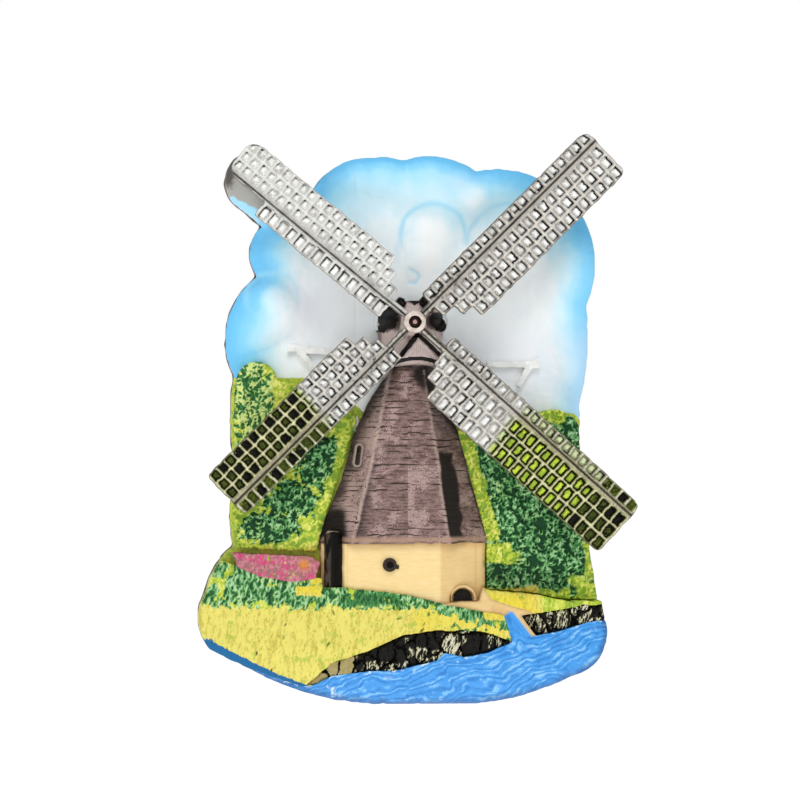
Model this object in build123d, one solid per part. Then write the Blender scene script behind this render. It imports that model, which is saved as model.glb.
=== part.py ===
from build123d import *

import os

# Windmill souvenir magnet: a painted relief plaque whose cast sail cross turns on a headed pin.
# The part hangs upright on a steel door. +Z is up, the relief faces -Y, and the origin is the centre
# of the magnet's back face. Depth is counted from that face towards the viewer, so depth = -Y.
# All sizes are millimetres.

# Depths of the main faces, from the magnet's back face forwards.
PLATE_BACK = 1.0
PLATE_FRONT = 6.0
RIM = 0.8  # step round the front edge of the sky, above the trees
SKY_RIM_BOTTOM = 9.0
MAGNET_FRONT = 3.0
GLUE_FRONT = 3.2
CLOUD_FRONT = 7.6
TIP_CLOUD_FRONT = 12.0
TREE_FRONT = 8.4
CAP_FRONT = 10.6
NECK_FRONT = 12.0
WASHER = (12.05, 12.35)
ROTOR_BACK = 12.4
LATTICE_FRONT = 14.0
SPAR_FRONT = 14.6
HUB_FRONT = 15.0

# Sail cross and its bearing.
HUB = (0.7, 17.0)
HUB_RADIUS = 1.6
BORE_RADIUS = 0.45
COUNTERBORE_RADIUS = 0.8
COUNTERBORE_FLOOR = 14.3
PIN_RADIUS = 0.4
PIN_HEAD_RADIUS = 0.7
PIN_HEAD = (14.35, 14.8)
PIN_TAIL = 4.6
NECK_RADIUS = 1.7
SPAR_WIDTH = 0.9
BAR = 0.42
PIT_DEPTH = 0.9
CELL_PITCH = 1.54
TRAILING_ROWS = 3

# name, arm angle from +X, length, leading width, trailing width, leading start, leading end, row starts
SAILS = [
    ("sail_upper_right", 44.9, 37.0, 2.1, 6.3, 3.6, 37.0, (3.6, 5.8, 7.6)),
    ("sail_upper_left", 140.6, 34.6, 2.7, 5.5, 4.4, 27.5, (4.7, 6.4, 7.9)),
    ("sail_lower_left", 225.0, 36.7, 2.4, 5.4, 4.9, 36.7, (5.4, 6.6, 8.4)),
    ("sail_lower_right", 318.2, 42.0, 2.2, 7.0, 5.7, 42.0, (6.0, 6.6, 8.5)),
]

MAGNET_SIZE = (26.0, 18.0)
MAGNET_CORNER = 1.0
POCKET_GAP = 0.3

OUT = "parts"


def at_depth(depth):
    """The drawing plane at a depth: X right, Z up, normal towards the viewer."""
    return Plane.XZ.offset(depth)


def outline(start, *steps):
    """Closed face from a start point; a step is a point for a line, or (middle, end) for an arc."""
    edges = []
    here = start
    for step in steps:
        if isinstance(step[0], tuple):
            middle, end = step
            edges.append(ThreePointArc(here, middle, end))
        else:
            end = step
            edges.append(Line(here, end))
        here = end
    if here != start:
        edges.append(Line(here, start))
    return make_face(Curve() + edges)


def slab(face, back, front):
    """A flat face carried from one depth to another."""
    return extrude(at_depth(back) * face, front - back)


def domed_slab(face, back, front, edge):
    """A slab whose front edge steps in by the width `edge`, as a plain stand-in for a rounded rim."""
    crown = offset(face, -edge)
    return slab(face, back, front - edge) + slab(crown, front - edge, front)


def round_bar(centre, radius, back, front):
    """A cylinder along the viewing direction."""
    return slab(Pos(*centre) * Circle(radius), back, front)


def save(name, shape):
    """Write one node and say how large it is."""
    shape.label = name
    export_step(shape, os.path.join(OUT, name + ".step"))
    print(name, round(shape.volume, 1), "mm3")


def silhouette():
    """The plaque seen from the front: cloud lobes on top, tree sides, rounded shore below."""
    return outline(
        (-24.8, 9.3),
        ((-25.9, 16.4), (-21.5, 23.8)),
        ((-22.5, 27.4), (-20.7, 31.0)),
        (-25.3, 34.8),
        ((-25.6, 39.5), (-22.4, 42.0)),
        ((-20.6, 41.7), (-19.2, 40.6)),
        (-13.4, 36.2),
        ((-10.0, 39.7), (-4.8, 41.0)),
        ((-2.6, 41.1), (-0.4, 40.6)),
        ((5.0, 41.2), (10.4, 39.1)),
        ((19.4, 38.3), (26.5, 32.0)),
        ((27.9, 26.0), (26.6, 19.5)),
        ((26.7, 12.5), (25.6, 5.0)),
        ((26.4, -10.0), (28.8, -26.0)),
        ((27.8, -31.6), (23.8, -34.1)),
        ((16.2, -37.1), (8.0, -38.2)),
        (-6.0, -38.1),
        ((-14.2, -36.5), (-22.6, -33.0)),
        (-28.6, -30.0),
        ((-30.0, -26.6), (-28.9, -22.0)),
        ((-27.5, -18.2), (-25.0, -15.5)),
        ((-25.4, -9.5), (-24.8, -3.5)),
        ((-25.3, 3.0), (-24.8, 9.3)),
    )


def backdrop(whole):
    """Sky slab with the magnet's pocket in its back and the hole that grips the pin."""
    body = slab(whole, PLATE_BACK, PLATE_FRONT)
    rim = slab(whole - offset(whole, -RIM), PLATE_FRONT - RIM, PLATE_FRONT)
    body -= rim & (Pos(0, 0, SKY_RIM_BOTTOM + 50) * Box(100, 100, 100))
    pocket = RectangleRounded(
        MAGNET_SIZE[0] + 2 * POCKET_GAP, MAGNET_SIZE[1] + 2 * POCKET_GAP, MAGNET_CORNER
    )
    body -= slab(pocket, PLATE_BACK, GLUE_FRONT)
    return body - round_bar(HUB, PIN_RADIUS, PIN_TAIL, PLATE_FRONT)


def magnet_parts():
    """Ferrite bar and the pad of glue that holds it in its pocket."""
    face = RectangleRounded(*MAGNET_SIZE, MAGNET_CORNER)
    save("magnet", slab(face, 0, MAGNET_FRONT))
    save("magnet_glue_pad", slab(face, MAGNET_FRONT, GLUE_FRONT))


def clouds(whole):
    """Raised cloud banks round the rim of the sky, and the tall one behind a sail tip."""
    left = outline(
        (-24.4, 12.0),
        ((-25.2, 16.4), (-21.0, 23.0)),
        ((-17.0, 21.6), (-15.2, 16.6)),
        ((-19.5, 13.6), (-24.4, 12.0)),
    )
    upper_left = outline(
        (-20.4, 24.6),
        ((-21.9, 27.4), (-20.2, 30.6)),
        (-13.0, 35.4),
        ((-12.5, 30.0), (-14.0, 25.5)),
        ((-17.0, 23.9), (-20.4, 24.6)),
    )
    top = outline(
        (-11.6, 37.0),
        ((-8.0, 39.7), (-0.4, 39.9)),
        ((5.0, 40.4), (10.2, 38.4)),
        ((15.5, 38.6), (20.4, 36.8)),
        ((14.0, 34.2), (8.0, 31.5)),
        ((1.0, 34.0), (-11.6, 37.0)),
    )
    right = outline(
        (25.8, 31.6),
        ((27.2, 26.0), (25.9, 19.5)),
        ((26.0, 13.0), (25.0, 6.0)),
        ((20.5, 18.0), (22.4, 29.5)),
        ((24.0, 31.2), (25.8, 31.6)),
    )
    for name, face in (("left", left), ("upper_left", upper_left), ("top", top), ("right", right)):
        save("cloud_bank_" + name, domed_slab(face, PLATE_FRONT, CLOUD_FRONT, 0.7))
    tip = outline(
        (-20.6, 31.6),
        (-24.9, 35.2),
        ((-25.1, 39.4), (-22.4, 41.4)),
        ((-20.8, 41.2), (-19.4, 40.1)),
        (-13.8, 35.9),
    )
    save("cloud_under_sail_tip", domed_slab(tip, PLATE_FRONT, TIP_CLOUD_FRONT, 0.9))


def tower_section(z, left, left_edge, right_edge, right, front):
    """Half an octagon at one height: two side walls and a front wall standing on the plate."""
    side = PLATE_FRONT + 0.55 * (front - PLATE_FRONT)
    points = [
        (left, PLATE_FRONT),
        (left, PLATE_FRONT + 0.5),
        (left_edge, side if left_edge - left < 1 else front),
        (right_edge, side if right - right_edge < 1 else front),
        (right, PLATE_FRONT + 0.5),
        (right, PLATE_FRONT),
    ]
    return make_face(Polyline(*[(x, -depth, z) for x, depth in points], close=True))


def tower():
    """Thatched tower: straight-sided lofts between half-octagon sections, flared at the eave."""
    sections = [
        tower_section(-14.9, -12.8, -8.1, 6.2, 12.7, 11.2),
        tower_section(-11.3, -11.5, -7.0, 5.6, 11.0, 10.9),
        tower_section(-6.0, -9.3, -5.4, 4.7, 9.6, 10.5),
        tower_section(0.0, -7.7, -4.1, 4.2, 8.2, 10.1),
        tower_section(5.0, -5.6, -3.4, 3.6, 6.0, 9.8),
        tower_section(8.2, -3.6, -2.3, 3.3, 4.6, 9.6),
        tower_section(10.6, -1.6, -0.4, 2.9, 4.0, 9.4),
    ]
    return loft(sections, ruled=True)


def hip_cap():
    """Boat-shaped cap behind the hub, with the boss that holds the sail cross off the relief."""
    face = outline(
        (-4.2, 10.7),
        (-3.9, 15.4),
        ((-4.2, 18.3), (-2.0, 19.4)),
        ((1.4, 20.2), (4.6, 19.2)),
        ((5.9, 17.4), (5.2, 15.4)),
        (6.4, 12.6),
        (5.4, 10.7),
    )
    body = domed_slab(face, PLATE_FRONT, CAP_FRONT, 1.0)
    body += round_bar(HUB, NECK_RADIUS, CAP_FRONT - 1, NECK_FRONT)
    return body - round_bar(HUB, PIN_RADIUS, PLATE_FRONT, NECK_FRONT)


def cap_gable():
    """Small boarded gable under the hub, standing on the front of the cap."""
    face = outline((-0.9, 11.8), ((1.4, 11.5), (4.1, 11.8)), (3.0, 13.4), ((1.5, 14.9), (0.0, 13.4)))
    return slab(face, CAP_FRONT, CAP_FRONT + 0.9)


def base_walls():
    """Cream octagonal ground floor under the eave: a left, a front and a right wall."""
    points = [
        (-12.4, PLATE_FRONT),
        (-12.2, 8.0),
        (-9.0, 10.3),
        (4.8, 10.5),
        (11.4, 8.0),
        (11.6, PLATE_FRONT),
    ]
    plan = make_face(Polyline(*[(x, -depth, -24.0) for x, depth in points], close=True))
    return extrude(plan, 9.1, dir=(0, 0, 1))


def ground_mass(whole):
    """Everything below the mill: bulges forwards to the shore, then rounds back underneath."""
    profile = Polyline(
        (-PLATE_FRONT, -15.0),
        (-8.4, -16.0),
        (-10.6, -21.5),
        (-11.2, -25.5),
        (-12.0, -30.5),
        (-11.9, -33.5),
        (-10.8, -36.4),
        (-8.6, -39.0),
        (-PLATE_FRONT, -39.0),
        close=True,
    )
    prism = extrude(Plane.YZ * make_face(profile), 40, both=True)
    wall_view = outline(
        (-12.4, -14.0), (12.4, -14.0), (11.2, -20.4), (10.4, -23.3), (4.8, -23.6), (-0.7, -22.2),
        (-9.4, -21.3), (-12.4, -21.3),
    )
    mass = slab(whole, PLATE_FRONT, TIP_CLOUD_FRONT + 1) & prism
    return mass - slab(wall_view, PLATE_FRONT, TIP_CLOUD_FRONT + 1)


def build_ground(whole, base):
    """Splits the ground along its painted edges, so that neighbours meet face to face."""
    mass = ground_mass(whole)
    shore = [
        (-31.0, -30.0), (-27.0, -31.4), (-22.6, -32.9), (-15.2, -35.4), (-13.4, -35.2),
        (-10.9, -33.9), (-5.8, -33.3), (-1.3, -33.1), (4.2, -31.8), (5.1, -30.7),
        (8.0, -31.3), (11.6, -30.7), (15.2, -29.1), (13.8, -25.3), (14.6, -25.2),
        (17.0, -28.6), (21.8, -27.7), (26.0, -26.4), (31.0, -26.0),
    ]
    river_face = make_face(Polyline(*shore, (31.0, -40.0), (-31.0, -40.0), close=True))
    left_stones = outline(
        (-14.8, -35.2), (-10.9, -32.0), (-5.7, -30.2), (-0.7, -28.1), (4.5, -27.4),
        (10.9, -27.6), (15.2, -29.1), (11.6, -30.7), (8.0, -31.3), (5.1, -30.7), (4.2, -31.8),
        (-1.3, -33.1), (-5.8, -33.3), (-10.9, -33.9), (-13.4, -35.2),
    )
    right_stones = outline(
        (16.3, -25.3), (21.3, -24.7), (25.5, -23.9), (31.0, -23.8), (31.0, -28.0), (21.8, -29.0),
        (18.8, -28.6),
    )
    towpath = outline(
        (10.6, -20.6), (12.0, -23.0), (18.4, -25.0), (16.3, -25.3), (18.8, -28.6), (17.0, -28.8),
        (14.6, -25.2), (13.8, -25.3), (5.0, -23.7), (5.0, -20.0),
    )
    flowers = outline(
        (-25.2, -16.2), (-13.6, -16.9), (-12.6, -17.7), (-13.3, -19.9), (-16.7, -20.4),
        (-20.7, -19.7), (-24.6, -18.2),
    )
    above_mill = outline(
        (-31, -14), (31, -14), (31, -23.4), (23.6, -23.4), (18.4, -22.4), (12.0, -21.8), (9.0, -20.0),
        (-12.2, -20.0), (-13.3, -19.9), (-16.7, -20.4), (-20.7, -19.7), (-24.6, -18.2), (-31, -15.8),
    )
    cut = {}
    for name, face in (
        ("flower_bed", flowers),
        ("river", river_face),
        ("bank_stones_left", left_stones),
        ("bank_stones_right", right_stones),
        ("towpath", towpath),
    ):
        piece = mass & slab(face, 0, 20)
        piece -= base
        for other in cut.values():
            piece -= other
        cut[name] = piece
    meadow = mass - slab(above_mill, 0, 20) - base
    for other in cut.values():
        meadow -= other
    lumps = [s for s in meadow.solids() if s.volume > 1]
    left = [s for s in lumps if s.center().X < 14]
    right = [s for s in lumps if s.center().X >= 14]
    cut["meadow"] = Part() + left
    cut["far_bank"] = Part() + right
    return cut


def trees(keep_out):
    """Bush masses either side of the mill, trimmed where the tower and the ground stand."""
    left = outline(
        (-24.5, 8.8), ((-21.9, 11.3), (-18.6, 8.6)), ((-13.5, 7.4), (-7.0, 3.2)),
        (-12.6, -14.0), (-12.9, -16.2), (-24.6, -15.6),
        ((-24.9, -9.5), (-24.4, -3.5)), ((-24.9, 3.0), (-24.5, 8.8)),
    )
    right = outline(
        (7.6, 1.4), ((13.0, 2.2), (19.4, 3.9)), ((22.8, 4.2), (25.3, 2.0)),
        ((26.1, -10.0), (28.1, -23.2)), (23.6, -23.2), (18.4, -22.2), (11.8, -21.6), (11.8, -14.0),
    )
    for name, face in (("trees_left", left), ("trees_right", right)):
        body = slab(face, PLATE_FRONT, TREE_FRONT)
        for other in keep_out:
            body -= other
        biggest = body.solids().sort_by(SortBy.VOLUME)[-1]
        save(name, Part() + [biggest])


def door(ground):
    """Tall dark doorway post with its little hood, in front of the left corner of the base."""
    shaft = Pos(-10.7, -9.4, -18.0) * Cylinder(1.25, 8.4)
    hood = Pos(-10.7, -9.4, -13.3) * Cone(1.25, 0.5, 1.0)
    return (shaft + hood) - ground


def window():
    """Round black window on the front wall of the base, with its catch at the right."""
    catch = slab(Pos(-1.5, -18.3) * Rectangle(0.5, 0.6), 10.3, 10.7)
    return round_bar((-2.6, -18.0), 1.0, 10.3, 10.9) + catch


def slit_window():
    """Tall narrow window frame on the left wall of the tower, leaning with the wall."""
    frame = Rot(0, 0, -8) * (SlotOverall(3.5, 1.3, rotation=90) - SlotOverall(2.9, 0.7, rotation=90))
    return slab(Pos(-7.0, -2.2) * frame, PLATE_FRONT + 0.4, 8.9)


def sluice_arch(span, crown):
    """Half-round outline that stands on the ground at the right wall of the base."""
    middle, foot = 8.1, -23.6
    return outline((middle - span, foot), ((middle, foot + crown), (middle + span, foot)))


def tail_braces():
    """White tail beam and its strut, low relief on the sky either side of the mill."""
    left = outline((-17.0, 13.9), (-16.2, 13.9), (-8.6, 12.7), (-8.6, 12.0), (-14.6, 12.6),
                   (-12.4, 10.2), (-13.2, 9.8), (-15.9, 12.8), (-17.0, 12.7))
    right = outline((12.0, 11.3), (18.9, 11.5), (19.6, 12.1), (19.7, 10.4), (18.5, 10.4),
                    (16.9, 7.6), (16.2, 7.9), (17.5, 10.5), (12.0, 10.6))
    save("tail_brace_left", slab(left, PLATE_FRONT, PLATE_FRONT + 0.8))
    save("tail_brace_right", slab(right, PLATE_FRONT, PLATE_FRONT + 0.8))


def sail(angle, length, lead, trail, lead_start, lead_end, row_starts):
    """One sail drawn along +X from the hub, then swung to its angle. The trailing side is clockwise."""
    half_spar = SPAR_WIDTH / 2
    row = (trail - half_spar) / TRAILING_ROWS
    blade = Pos((lead_start + lead_end) / 2, lead / 2) * Rectangle(lead_end - lead_start, lead)
    for i, begin in enumerate(row_starts):
        low = -half_spar - (i + 1) * row
        blade += Pos((begin + length) / 2, low / 2) * Rectangle(length - begin, -low)
    body = slab(blade, ROTOR_BACK, LATTICE_FRONT)
    body += slab(Pos(length / 2, 0) * Rectangle(length, SPAR_WIDTH), ROTOR_BACK, SPAR_FRONT)

    pits = []
    rows = [(lead_start, lead_end, half_spar, lead)]
    for i, begin in enumerate(row_starts):
        rows.append((begin, length, -half_spar - (i + 1) * row, -half_spar - i * row))
    for begin, end, low, high in rows:
        count = int((end - begin - BAR) / CELL_PITCH)
        step = (end - begin - BAR) / count
        for j in range(count):
            x = begin + BAR + (j + 0.5) * step - BAR / 2
            cell = Rectangle(step - BAR, high - low - BAR)
            pits.append(Pos(x, (low + high) / 2) * cell)
    cutters = [slab(p, LATTICE_FRONT - PIT_DEPTH, LATTICE_FRONT + 0.1) for p in pits]
    body = body - cutters
    body -= round_bar((0, 0), HUB_RADIUS, ROTOR_BACK - 1, HUB_FRONT + 1)
    swung = body.rotate(Axis.Y, -angle)
    return Pos(HUB[0], 0, HUB[1]) * swung


def hub_parts():
    """Ring boss of the sail cross, the headed pin it turns on, and the washer behind it."""
    boss = round_bar(HUB, HUB_RADIUS, ROTOR_BACK, HUB_FRONT)
    boss -= round_bar(HUB, BORE_RADIUS, ROTOR_BACK, HUB_FRONT)
    boss -= round_bar(HUB, COUNTERBORE_RADIUS, COUNTERBORE_FLOOR, HUB_FRONT)
    save("sail_hub", boss)
    pin = round_bar(HUB, PIN_RADIUS, PIN_TAIL, PIN_HEAD[0])
    pin += round_bar(HUB, PIN_HEAD_RADIUS, *PIN_HEAD)
    save("axle_pin", pin)
    washer = round_bar(HUB, NECK_RADIUS - 0.1, *WASHER) - round_bar(HUB, BORE_RADIUS, *WASHER)
    save("spacer_washer", washer)


def main():
    os.makedirs(OUT, exist_ok=True)
    whole = silhouette()
    save("backdrop", backdrop(whole))
    magnet_parts()
    clouds(whole)

    mill = tower()
    niche = sluice_arch(1.5, 2.2)
    base = base_walls() - mill - slab(niche, 8.2, 12)
    ground = build_ground(whole, base)
    for name, piece in ground.items():
        save(name, piece)
    ground_solid = Part() + [s for piece in ground.values() for s in piece.solids()]
    post = door(ground_solid)
    cap = hip_cap() - mill
    save("mill_tower", mill - post)
    save("mill_base", base - post)
    save("mill_cap", cap)
    save("cap_gable", cap_gable())
    save("door_post", post)
    save("round_window", window() - base)
    save("slit_window", slit_window() - mill)
    save("arch_lintel", slab(sluice_arch(1.9, 2.7) - niche, 8.2, 9.9) - base - ground_solid)
    trees([mill, base, post, ground_solid])
    tail_braces()

    hub_parts()
    for name, *values in SAILS:
        save(name, sail(*values))


main()
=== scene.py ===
import math

import bmesh
import bpy
import numpy as np
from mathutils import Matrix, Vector, noise
from mathutils.bvhtree import BVHTree


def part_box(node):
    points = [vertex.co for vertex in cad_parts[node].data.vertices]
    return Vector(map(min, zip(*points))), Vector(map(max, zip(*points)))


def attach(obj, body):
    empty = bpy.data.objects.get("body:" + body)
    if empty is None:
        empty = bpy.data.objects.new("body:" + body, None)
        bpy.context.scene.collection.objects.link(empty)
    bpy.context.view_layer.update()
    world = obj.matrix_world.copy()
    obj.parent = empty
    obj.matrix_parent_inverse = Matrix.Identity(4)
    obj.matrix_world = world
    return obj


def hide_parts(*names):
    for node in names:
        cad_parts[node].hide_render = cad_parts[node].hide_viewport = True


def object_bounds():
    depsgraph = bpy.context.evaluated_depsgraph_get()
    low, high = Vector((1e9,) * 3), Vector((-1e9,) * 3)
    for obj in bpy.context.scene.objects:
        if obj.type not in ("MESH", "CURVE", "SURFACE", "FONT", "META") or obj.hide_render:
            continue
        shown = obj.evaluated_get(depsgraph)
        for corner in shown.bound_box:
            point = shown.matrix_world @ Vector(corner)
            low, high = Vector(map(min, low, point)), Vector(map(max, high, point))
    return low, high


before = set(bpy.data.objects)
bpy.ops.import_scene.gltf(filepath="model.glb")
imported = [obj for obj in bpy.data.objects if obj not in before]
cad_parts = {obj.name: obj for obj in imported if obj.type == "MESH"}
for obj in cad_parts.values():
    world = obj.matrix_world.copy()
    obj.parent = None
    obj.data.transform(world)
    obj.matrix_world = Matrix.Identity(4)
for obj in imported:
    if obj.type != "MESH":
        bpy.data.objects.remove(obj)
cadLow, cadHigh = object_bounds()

mm = 0.001
skyNodes = ["backdrop", "cloud_bank_left", "cloud_bank_upper_left", "cloud_bank_top",
            "cloud_bank_right", "cloud_under_sail_tip"]
millNodes = ["mill_tower", "mill_base", "mill_cap"]
treeNodes = ["trees_left", "trees_right"]
grassNodes = ["meadow", "far_bank", "flower_bed"]
stoneNodes = ["bank_stones_left", "bank_stones_right"]
landNodes = treeNodes + grassNodes + stoneNodes + ["river", "towpath"]
reliefNodes = skyNodes + millNodes + landNodes


def middle(node):
    low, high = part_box(node)
    return (low + high) / 2 / mm


def depths(node):
    low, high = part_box(node)
    return -high.y / mm, -low.y / mm  # nearest the back, nearest the front


def edges(node):
    low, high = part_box(node)
    return low.x / mm, high.x / mm, low.z / mm, high.z / mm  # left, right, foot, top


def halfWidth(node):
    low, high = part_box(node)
    return (high.x - low.x) / 2 / mm


def strongest(*fields):
    return np.maximum.reduce(fields)


def smooth(low, high, value):
    t = unit((value - low) / (high - low))
    return t * t * (3 - 2 * t)


def unit(value):
    return np.clip(value, 0, 1)


def hump(away, width):
    # 1 at the middle, fading over about that width
    return np.exp(-(away / width) ** 2)


def rounding(inside):
    # how far a quarter-round edge lies below the top: 1 at its foot, 0 from inside = 1 on
    return 1 - np.sqrt(1 - (1 - inside) ** 2)


def grain(x, z, size, seed):
    # soft random field from -1 to 1, with lumps of about that size in mm
    table = np.random.default_rng(seed).random((256, 256)) * 2 - 1
    gx = x / size
    gz = z / size
    ix = np.floor(gx).astype(int)
    iz = np.floor(gz).astype(int)
    fx = gx - ix
    fz = gz - iz
    fx = fx * fx * (3 - 2 * fx)
    fz = fz * fz * (3 - 2 * fz)
    ix = ix % 255
    iz = iz % 255
    lower = table[iz, ix] * (1 - fx) + table[iz, ix + 1] * fx
    upper = table[iz + 1, ix] * (1 - fx) + table[iz + 1, ix + 1] * fx
    return lower * (1 - fz) + upper * fz


def lumps(x, z, size, seed, layers=3):
    total = 0
    for k in range(layers):
        total = total + grain(x + 7.3 * k, z - 3.1 * k, size / 2 ** k, seed + k) / 2 ** k
    return total / 1.6


def blur(field, cells):
    half = max(1, int(round(cells)))
    out = field.astype(float)
    for axis in (0, 1, 0, 1, 0, 1):
        pad = [(0, 0), (0, 0)]
        pad[axis] = (half + 1, half)
        run = np.cumsum(np.pad(out, pad, mode="edge"), axis=axis)
        size = out.shape[axis]
        upper = np.take(run, np.arange(size) + 2 * half + 1, axis=axis)
        lower = np.take(run, np.arange(size), axis=axis)
        out = (upper - lower) / (2 * half + 1)
    return out


def inward(mask, reach):
    # how many steps each place lies inside the mask, up to reach
    steps = np.zeros(mask.shape)
    left = mask.copy()
    for k in range(int(reach)):
        steps += left
        p = np.pad(left, 1, mode="edge")
        left = left & p[:-2, 1:-1] & p[2:, 1:-1] & p[1:-1, :-2] & p[1:-1, 2:]
        if k % 2:
            left = left & p[:-2, :-2] & p[2:, 2:] & p[:-2, 2:] & p[2:, :-2]
    return steps


def patch(x, z, left, right, low, high, soft=0.6, wobble=0.5, seed=3):
    # a soft rectangle with a hand-painted edge
    dx = x + wobble * grain(x, z, 1.7, seed)
    dz = z + wobble * grain(x, z, 1.7, seed + 1)
    across = smooth(left - soft, left + soft, dx) * (1 - smooth(right - soft, right + soft, dx))
    up = smooth(low - soft, low + soft, dz) * (1 - smooth(high - soft, high + soft, dz))
    return across * up


def farFrom(x, z, points):
    # distance in mm to a line of points
    best = np.full(x.shape, 1e6)
    for (ax, az), (bx, bz) in zip(points[:-1], points[1:]):
        lengthSquared = (bx - ax) ** 2 + (bz - az) ** 2
        t = unit(((x - ax) * (bx - ax) + (z - az) * (bz - az)) / lengthSquared)
        best = np.minimum(best, np.hypot(x - ax - t * (bx - ax), z - az - t * (bz - az)))
    return best


def crackle(x, z, size, seed):
    # jittered cells: distance to the nearest crack, a random number per cell
    jitter = np.random.default_rng(seed).random((128, 128, 3))
    gx = np.floor(x / size).astype(int)
    gz = np.floor(z / size).astype(int)
    first = np.full(x.shape, 1e6)
    second = np.full(x.shape, 1e6)
    own = np.zeros(x.shape)
    for i in (-1, 0, 1):
        for k in (-1, 0, 1):
            spot = jitter[(gz + k) % 128, (gx + i) % 128]
            away = np.hypot((gx + i + spot[..., 0]) * size - x, (gz + k + spot[..., 1]) * size - z)
            nearer = away < first
            second = np.where(nearer, first, np.minimum(second, away))
            own = np.where(nearer, spot[..., 2], own)
            first = np.where(nearer, away, first)
    return second - first, own


class Sheet:
    def __init__(self, nodes, step, sway=0.0, swaySize=1.6, centre=(0, 0), angle=0.0, seed=1, margin=0.6):
        self.nodes = nodes
        self.step = step
        self.centre = centre
        self.turn = (math.cos(angle), math.sin(angle))
        points = []
        faces = []
        owners = []
        for index, name in enumerate(nodes):
            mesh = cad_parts[name].data
            start = len(points)
            points += [v.co.copy() for v in mesh.vertices]
            faces += [[start + i for i in p.vertices] for p in mesh.polygons]
            owners += [index] * len(mesh.polygons)
        tree = BVHTree.FromPolygons(points, faces)
        flat = np.array([(p.x, p.z) for p in points]) / mm
        u, v = self.toLocal(flat[:, 0], flat[:, 1])
        low = (u.min() - margin, v.min() - margin)
        cols = int((u.max() + margin - low[0]) / step) + 1
        rows = int((v.max() + margin - low[1]) / step) + 1
        acrossLines = low[0] + np.arange(cols + 1) * step
        upLines = low[1] + np.arange(rows + 1) * step
        self.u, self.v = np.meshgrid(acrossLines, upLines)
        cu = self.u[:-1, :-1] + step / 2
        cv = self.v[:-1, :-1] + step / 2
        self.cu = cu
        self.cv = cv
        su = cu + sway * lumps(cu, cv, swaySize, seed, 2)
        sv = cv + sway * lumps(cu, cv, swaySize, seed + 40, 2)
        sx, sz = self.toFrame(su, sv)
        self.owner = np.full(cu.shape, -1)
        self.depth = np.zeros(cu.shape)
        ahead = Vector((0, 1, 0))
        start = -25 * mm  # well in front of the sails
        ownerFlat = self.owner.ravel()
        depthFlat = self.depth.ravel()
        for i, (px, pz) in enumerate(zip((sx * mm).ravel().tolist(), (sz * mm).ravel().tolist())):
            spot, normal, face, away = tree.ray_cast((px, start, pz), ahead)
            if spot is not None:
                ownerFlat[i] = owners[face]
                depthFlat[i] = -spot.y / mm
        self.straighten(6)

    def toFrame(self, u, v):
        c, s = self.turn
        return self.centre[0] + u * c - v * s, self.centre[1] + u * s + v * c

    def toLocal(self, x, z):
        c, s = self.turn
        dx = x - self.centre[0]
        dz = z - self.centre[1]
        return dx * c + dz * s, dz * c - dx * s

    def straighten(self, passes):
        # draws the steps out of the borders between pieces
        label = np.pad(self.owner, 1, constant_values=-1)
        upright = (label[1:-1, :-1] != label[1:-1, 1:]).astype(float)
        level = (label[:-1, 1:-1] != label[1:, 1:-1]).astype(float)
        count = np.zeros(self.u.shape)
        count[:-1] += upright
        count[1:] += upright
        count[:, :-1] += level
        count[:, 1:] += level
        for k in range(passes):
            for line in (self.u, self.v):
                total = np.zeros(line.shape)
                total[:-1] += upright * line[1:]
                total[1:] += upright * line[:-1]
                total[:, :-1] += level * line[:, 1:]
                total[:, 1:] += level * line[:, :-1]
                line += np.where(count > 0, (total / np.maximum(count, 1) - line) * 0.5, 0)

    def has(self, *names):
        return np.isin(self.owner, [self.nodes.index(n) for n in names])

    def soft(self, mask, radius):
        # CAD depth, softened inside the mask only
        weight = blur(mask, radius / self.step)
        return blur(self.depth * mask, radius / self.step) / np.maximum(weight, 1e-3)

    def corners(self, values, mask):
        rows, cols = mask.shape
        total = np.zeros((rows + 1, cols + 1))
        count = np.zeros((rows + 1, cols + 1))
        for r in (0, 1):
            for c in (0, 1):
                total[r:rows + r, c:cols + c] += values * mask
                count[r:rows + r, c:cols + c] += mask
        return total / np.maximum(count, 1)

    def inside(self, mask, reach):
        # distance in mm inside the mask, at the corners
        steps = inward(mask, reach / self.step)
        return self.corners(steps, np.ones(mask.shape, bool)) * self.step

    def reach(self, mask, reach):
        # distance in mm away from the mask, at the corners
        return self.inside(~mask, reach)


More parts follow.
